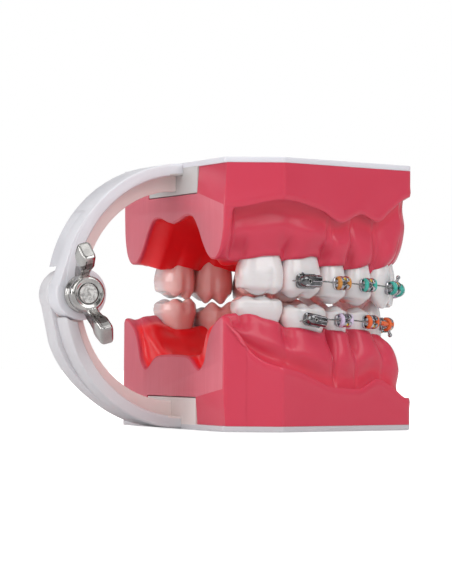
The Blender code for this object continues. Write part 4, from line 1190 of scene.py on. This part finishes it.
def make_ear(sign):
    path = np.array(EAR)[:, :2]
    tangents = np.gradient(path, axis=0)
    tangents /= np.linalg.norm(tangents, axis=1)[:, None]
    wing_x, wing_z = math.cos(NUT_TILT), math.sin(NUT_TILT)
    rings = []
    for (reach, y, half_width, half_thick), (slope_out, slope_y) in zip(EAR, tangents):
        ring = []
        for wide, thick in zip(*squarish(32, 0.4)):
            wide, thick = wide * half_width, thick * half_thick
            out = sign * (reach - slope_y * wide)
            ring.append(point(HINGE_X + wing_x * out - wing_z * thick,
                              NUT_Y + y + slope_out * wide,
                              HINGE_Z + wing_z * out + wing_x * thick))
        rings.append(ring)
    return lofted("ear", rings, [NICKEL])


def make_nut():
    hub = lofted("hub", [hinge_ring(NUT_Y + y, radius, 72) for y, radius in HUB], [NICKEL])
    ob = join("look_wing_nut", [hub, make_ear(1), make_ear(-1)])
    add_modifier(ob, "REMESH", mode="VOXEL", voxel_size=0.13 * MM,
                 use_smooth_shade=True)
    add_modifier(ob, "SMOOTH", factor=0.5, iterations=3)
    apply_modifiers(ob)
    combine(ob, prism("nut_bore", hinge_circle(2.12, 64), NUT_Y - 1, NUT_Y + 14, NICKEL))
    ob.data.materials.clear()
    for material in (NICKEL, NICKEL_PAINTED_SHADE):
        ob.data.materials.append(material)
    for face in ob.data.polygons:   # painted shade and dark reflection on the necks of the ears
        x, _, z = from_world(face.center)
        face.material_index = int(3.95 < hinge_distance(x, z) < 5.9)
    shade(ob, 50)
    register(ob, "nut")


# ---------------------------------------------------------------- fixed appliances
# Brackets sit on teeth 2 to 6, tubes on tooth 1 (the first molar). Places on them are given
# outwards, towards the midline and up from the centre of the wire.
# z of the wire and cusp z used for placing, for teeth 1 to 6
WIRES = {"upper": (29.3, 29.05, 28.8, 28.35, 28.15, 28.0),
         "lower": (21.9, 21.75, 21.55, 21.15, 20.95, 20.85)}
PLACING_CUSPS = {"upper": (25.75, 24.95, 24.75, 24.35, 24.9, 24.7),
                 "lower": (25.25, 24.7, 24.5, 24.9, 25.4, 25.5)}
PLACING_SCALE = ((-0.1, 0.8), (0.12, 0.9), (0.48, 1.0))     # height share, section scale
BRACKET_REACH = 1.45                # half height over which the tooth face is cleared
WIRE_RADIUS = 0.15
STANDOFF = 1.75                     # wire centre off the tooth face
INCISOR_SINK = 0.5                  # less standoff on the incisors
BRACKET_WIDTH, TUBE_WIDTH = 3.2, 5.3
NARROW = {2: 0.80, 3: 0.74, 4: 0.80, 5: 0.76, 6: 0.76}      # width share by tooth
BRACKET_SHIFT = {"upper": {}, "lower": {2: -0.3, 3: 0.55}}  # towards the midline
TUBE_FIT = {"upper": dict(tilt=0.0, scale=1.0, shift=0.0),
            "lower": dict(tilt=-9.0, scale=0.88, shift=1.05)}
# cushion-shaped bonding pads: outwards, half width, half height, corner radius
BRACKET_PAD = ((-2.25, 1.45, 1.15, 0.80), (-1.75, 1.60, 1.28, 0.90), (-1.5, 1.70, 1.36, 0.95),
               (-1.32, 1.70, 1.36, 0.95), (-1.2, 1.58, 1.26, 0.88), (-1.14, 1.15, 0.95, 0.6))
TUBE_PAD = ((-2.2, 2.1, 1.15, 0.6), (-1.75, 2.35, 1.36, 0.7), (-1.45, 2.42, 1.45, 0.75),
            (-1.25, 2.38, 1.42, 0.7), (-1.15, 2.2, 1.25, 0.6))
# side profiles of the bracket: outwards, up
STEM = ((-1.25, 0.72), (-0.38, 0.68), (-0.38, -0.68), (-1.25, -0.72))
HALF_WING = ((-1.0, 0.62), (-0.66, 0.74), (-0.62, 1.12), (-0.56, 1.34), (-0.38, 1.42),
             (-0.10, 1.38), (0.30, 1.18), (0.60, 0.92), (0.74, 0.66), (0.74, 0.30),
             (-0.36, 0.28))
WING = HALF_WING + tuple((out, -up) for out, up in HALF_WING[::-1])
BRIDGE = ((-0.6, 0.62), (0.30, 0.62), (0.36, 0.34), (-0.36, 0.32), (-0.36, -0.32),
          (0.36, -0.34), (0.30, -0.62), (-0.6, -0.62))
# elastomeric ring, under the wings and over the wire: towards the midline, up, outwards
LIGATURE = ((0.0, 1.06, -0.86), (0.85, 1.12, -0.70), (1.38, 0.98, -0.12), (1.45, 0.58, 0.30),
            (1.45, 0.0, 0.42), (1.45, -0.58, 0.30), (1.38, -0.98, -0.12), (0.85, -1.12, -0.70),
            (0.0, -1.06, -0.86), (-0.85, -1.12, -0.70), (-1.38, -0.98, -0.12),
            (-1.45, -0.58, 0.30), (-1.45, 0.0, 0.42), (-1.45, 0.58, 0.30),
            (-1.38, 0.98, -0.12), (-0.85, 1.12, -0.70))
LIGATURE_RADII = (0.22, 0.27, 0.36, 0.43, 0.45, 0.43, 0.36, 0.27) * 2
RING_COLOURS = {"upper": {2: "gold", 3: "teal", 4: "teal", 5: "teal", 6: "lilac"},
                "lower": {2: "lilac", 3: "orange", 4: "orange", 5: "teal", 6: "gold"}}
# chain link: share of the way from premolar to canine, radius
LINK = ((0.42, 0.20), (0.50, 0.42), (0.62, 0.50), (0.76, 0.50), (0.90, 0.36), (1.0, 0.24))
HOLE = (-0.55, -0.02)               # centre of the tube's eyelet: towards the midline, up


def bracket_centre(jaw, i):
    """Plan centre of the wire slot, directions to the midline and outwards, and its z."""
    tooth = TEETH[jaw][i]
    cusp, z = PLACING_CUSPS[jaw][i - 1], WIRES[jaw][i - 1]
    faces = []
    for offset in (-BRACKET_REACH, 0.0, BRACKET_REACH):
        height = abs(z + offset - tooth.margin) / abs(cusp - tooth.margin)
        scale = np.interp(height, *zip(*PLACING_SCALE))
        faces.append(tooth.bulge + tooth.depth / 2 * (scale - 1)
                     + tooth.lean * np.interp(height, *zip(*LEAN)))
    centre, mesial, outward, _ = tooth_axes(jaw, i)
    out = max(faces) + STANDOFF - (INCISOR_SINK if i >= 5 else 0.0)
    return centre + outward * out, mesial, outward, z


def local_frame(jaw, i, side, tilt=0.0, scale=1.0, shift=0.0):
    """Function from (outwards, towards the midline, up) on a tooth to world."""
    centre, mesial, outward, wire_z = bracket_centre(jaw, i)
    cosine, sine = math.cos(math.radians(tilt)), math.sin(math.radians(tilt))

    def place(out, along, up):
        along, up = along * scale + shift, up * scale
        along, up = along * cosine - up * sine, along * sine + up * cosine
        x, y = centre + outward * out + mesial * along
        return point(x, y * side, wire_z + up)

    return place


def make_pad(place, rows, material, narrow=1.0):
    return lofted("pad", [[place(out, along * narrow, up)
                           for along, up in rounded_rect(half_width, half_height, radius)]
                          for out, half_width, half_height, radius in rows],
                  [material], sharp=35)


def extruded(name, place, profile, start, end, bevel, segments=2):
    """A side profile swept towards the midline in a bracket frame, with bevelled edges."""
    ob = lofted(name, [[place(out, along, up) for out, up in profile] for along in (start, end)],
                [STEEL])
    return shade(bevelled(ob, bevel, segments, degrees=25), 35)


def make_bracket(jaw, i, side):
    tooth = f"{jaw}_{HANDS[side]}_{TEETH[jaw][i].name}"
    away = AWAY[jaw]
    place = local_frame(jaw, i, side, shift=BRACKET_SHIFT[jaw].get(i, 0.0))
    narrow = NARROW[i]
    parts = [make_pad(place, BRACKET_PAD, STEEL, narrow),
             extruded("stem", place, STEM, -1.15 * narrow, 1.15 * narrow, bevel=0.08)]
    for start, end in ((-1.28, -0.40), (0.40, 1.28)):
        parts.append(extruded("wing", place, WING, start * narrow, end * narrow, bevel=0.09,
                              segments=3))
    parts.append(extruded("bridge", place, BRIDGE, -0.5 * narrow, 0.5 * narrow, bevel=0.06))
    parts.append(ball("dot", place(0.30, -0.05, 0.86 * away), 0.33, GOLD))
    if i == 4:                      # ball hook towards the gum on the canine
        path = [place(-0.3, 0.85, 1.0 * away), place(-0.1, 0.95, 1.6 * away),
                place(0.05, 1.0, 2.0 * away)]
        parts.append(tube("hook", path, (0.36, 0.32, 0.30), STEEL, sides=12))
        parts.append(ball("hook_ball", place(0.07, 1.02, 2.15 * away), 0.44, STEEL))
    register(join(f"look_{tooth}_bracket", parts), f"{jaw}_jaw")
    colour = RING_COLOURS[jaw][i]
    path = [place(out, along * narrow, up) for along, up, out in LIGATURE]
    ring = tube(f"ligature_{tooth}", path, LIGATURE_RADII, LIGATURES[colour], closed=True)
    register(ring, f"{jaw}_jaw")


def barrel(place, centre, radii, start, end, taper=0.5, material=STEEL):
    """Squarish bar along the tooth; centre and radii are outwards and up."""
    stations = ((start, taper * 0.8), (start + 0.06, taper + 0.12), (start + 0.25, taper + 0.32),
                (start + 0.6, 0.86 if taper < 0.6 else 0.97), (start + 1.1, 0.97),
                (start + 1.5, 1.0), (end - 0.3, 1.0), (end - 0.1, 0.94), (end, 0.8))
    rings = [[place(centre[0] + out * radii[0] * size, along, centre[1] + up * radii[1] * size)
              for out, up in zip(*squarish(32, 0.72))] for along, size in stations]
    return lofted("barrel", rings, [material], sharp=38)


def make_tube(jaw, side):
    away = AWAY[jaw]
    place = local_frame(jaw, 1, side, **TUBE_FIT[jaw])

    def hole_ring(out, radius, sides):
        return [place(out, HOLE[0] + along, HOLE[1] + up) for along, up in circle(radius, sides)]

    pad = make_pad(place, TUBE_PAD, TUBE_STEEL)
    body = barrel(place, (-0.45, 0.0), (1.12, 1.22), -2.4, 2.5, taper=0.35, material=TUBE_STEEL)
    hole = lofted("hole", [hole_ring(out, 0.30, 24) for out in (-0.4, 1.2)], [TUBE_STEEL])
    path = [place(-0.2, -1.6, 1.15 * away), place(0.1, -1.9, 1.45 * away),
            place(0.15, -2.3, 1.5 * away)]
    parts = [
        pad,
        shade(combine(body, hole), 38),
        barrel(place, (0.10, 0.74 * away), (0.66, 0.34), -0.9, 2.35, material=TUBE_STEEL),
        barrel(place, (0.08, -0.82 * away), (0.62, 0.26), -1.5, 2.2),
        barrel(place, (0.55, -0.04), (0.40, 0.19), -0.05, 2.42, taper=0.6),
        barrel(place, (0.66, 0.80 * away), (0.22, 0.15), 0.7, 2.2, taper=0.6),
        tube("eyelet", hole_ring(0.60, 0.37, 16), [0.09] * 16, NICKEL, sides=10, closed=True),
        tube("hook", path, (0.2, 0.18, 0.15), TUBE_STEEL, sides=12)]
    register(join(f"look_{jaw}_{HANDS[side]}_first_molar_tube", parts),
             f"{jaw}_jaw")


def make_wire(jaw):
    half = []
    for i in range(1, 7):
        centre, mesial, _, z = bracket_centre(jaw, i)
        reach = BRACKET_WIDTH / 2
        if i == 1:
            centre = centre + mesial * TUBE_FIT[jaw]["shift"]
            reach = TUBE_WIDTH / 2 * TUBE_FIT[jaw]["scale"]
            drop = 0.0 if jaw == "upper" else -0.45     # of the free end behind the tube
            half.append((*(centre - mesial * (reach + 1.65)), z + drop))
            half.append((*(centre - mesial * (reach + 0.3)), z + drop * 0.4))
        for along in (-reach - 0.1, reach + 0.1):
            half.append((*(centre + mesial * along), z))
    path = [point(x, y, z) for x, y, z in half] + [point(x, -y, z) for x, y, z in half[::-1]]
    ob = tube(f"look_{jaw}_archwire", path, [WIRE_RADIUS] * len(path), WIRE_STEEL)
    register(ob, f"{jaw}_jaw")


def make_link(side):
    """Short piece of elastomeric chain between the lower premolar and canine brackets."""
    start, start_mesial, start_out, start_z = bracket_centre("lower", 3)
    end, end_mesial, end_out, end_z = bracket_centre("lower", 4)
    start, end = start + start_mesial * 1.7, end - end_mesial * 1.7
    path = []
    for share, _ in LINK:
        x, y = start + (end - start) * share + (start_out + end_out) / 2 * 0.12
        path.append(point(x, y * side, start_z + (end_z - start_z) * share))
    ob = tube(f"chain_link_lower_{HANDS[side]}", path, [radius for _, radius in LINK],
              LIGATURES["orange"])
    register(ob, "lower_jaw")


# ---------------------------------------------------------------- build
teeth = {}
for jaw in AWAY:
    make_gum(jaw)
    make_frame(jaw)
    for side in HANDS:
        for i in range(7):
            teeth[jaw, i, side] = make_tooth(jaw, i, side)
            if i == 1:
                make_tube(jaw, side)
            elif i > 1:
                make_bracket(jaw, i, side)
    make_wire(jaw)
make_bolt()
make_nut()
for side in HANDS:
    make_link(side)
    for i in range(3):
        for j in range(4):
            seat(teeth["lower", i, side], teeth["upper", j, side])


# ---------------------------------------------------------------- studio, in metres
FLOOR_SIZE, FLOOR_CELLS, FLOOR_Z = 4.0, 24, -0.0002
LIGHT_TARGET = Vector((0, 0.0, 0.027))
# name, place, size, power
LIGHTS = (("key", (-0.55, 0.75, 0.50), (0.9, 0.7), 3.35),
          ("side_fill", (-0.75, -0.30, 0.55), (0.5, 0.5), 2.4),
          ("rear_fill", (0.35, 0.85, 0.14), (0.5, 0.4), 2.1),
          ("top", (0.0, 0.0, 0.8), (0.8, 0.8), 1.3))


def make_floor():
    look = Look("studio_floor", Roughness=0.9, Specular_IOR_Level=0.0,
                Emission_Color=(1.0, 1.0, 1.0, 1))
    look.feed("Base Color", look.mix(look.patches(scale=3, detail=2),
                                     base=(0.76, 0.76, 0.765), over=(0.79, 0.79, 0.795)))
    seen = add_node(look.tree, "LightPath").outputs["Is Camera Ray"]
    look.feed("Emission Strength", map_range(look.tree, seen, (0.0, 1.0), to=(0.0, 0.85)))
    bm = bmesh.new()
    count = FLOOR_CELLS + 1
    verts = [bm.verts.new(((x / FLOOR_CELLS - 0.5) * FLOOR_SIZE,
                           (y / FLOOR_CELLS - 0.5) * FLOOR_SIZE, FLOOR_Z))
             for y in range(count) for x in range(count)]
    for y in range(FLOOR_CELLS):
        for x in range(FLOOR_CELLS):
            k = y * count + x
            bm.faces.new([verts[j] for j in (k, k + 1, k + count + 1, k + count)])
    from_bm("studio_floor", bm, [look.material])


def make_world():
    """White to the camera, a soft gradient as light, a tent with dark gaps in reflections."""
    world = bpy.data.worlds.new("studio_world")
    bpy.context.scene.world = world
    world.use_nodes = True
    tree = world.node_tree
    tree.nodes.clear()
    rays = add_node(tree, "LightPath").outputs
    place = add_node(tree, "TexCoord").outputs["Generated"]
    height = add_node(tree, "SeparateXYZ", {"Vector": place}).outputs["Z"]
    noise = add_node(tree, "TexNoise", {"Vector": place, "Scale": 4.2, "Detail": 1.5})
    gaps = map_range(tree, noise.outputs["Fac"], band=(0.485, 0.55), to=(0.02, 1.0))
    soft = map_range(tree, height, band=(-0.6, 1.0), to=(0.40, 0.66), kind="LINEAR")
    tent = add_node(tree, "Math", {0: gaps, 1: 0.85}, operation="MULTIPLY").outputs["Value"]
    light = add_node(tree, "Mix", {0: rays["Is Glossy Ray"], 2: soft, 3: tent}).outputs[0]
    strength = add_node(tree, "Mix", {0: rays["Is Camera Ray"], 2: light, 3: 1.0}).outputs[0]
    background = add_node(tree, "Background", {"Color": (1, 1, 1, 1), "Strength": strength})
    add_node(tree, "OutputWorld", {"Surface": background.outputs["Background"]})


def make_light(name, place, size, power):
    lamp = bpy.data.lights.new(name, "AREA")
    lamp.shape = "RECTANGLE"
    lamp.size, lamp.size_y = size
    lamp.energy = power
    ob = bpy.data.objects.new(name, lamp)
    bpy.context.scene.collection.objects.link(ob)
    ob.location = place
    ob.rotation_mode = "QUATERNION"
    ob.rotation_quaternion = (LIGHT_TARGET - Vector(place)).to_track_quat("-Z", "Y")


def make_camera():
    data = bpy.data.cameras.new("camera")
    data.lens = 196.8
    data.sensor_width = 36.0
    data.clip_start, data.clip_end = 0.05, 20.0
    camera = bpy.data.objects.new("camera", data)
    bpy.context.scene.collection.objects.link(camera)
    bpy.context.scene.camera = camera
    pitch, roll = math.radians(1.11), math.radians(0.41)
    level = Vector((0.934, -0.358, 0)).normalized()
    aim = (level * math.cos(pitch) + Vector((0, 0, 1)) * math.sin(pitch)).normalized()
    turn = aim.to_track_quat("-Z", "Y").to_matrix() @ Matrix.Rotation(roll, 3, "Z")
    camera.rotation_mode = "QUATERNION"
    camera.rotation_quaternion = turn.to_quaternion()
    camera.location = (-0.6029, 0.2454, 0.015)


make_floor()
make_world()
for light in LIGHTS:
    make_light(*light)
make_camera()
bpy.context.scene.view_settings.view_transform = "Standard"
bpy.context.scene.view_settings.look = "None"
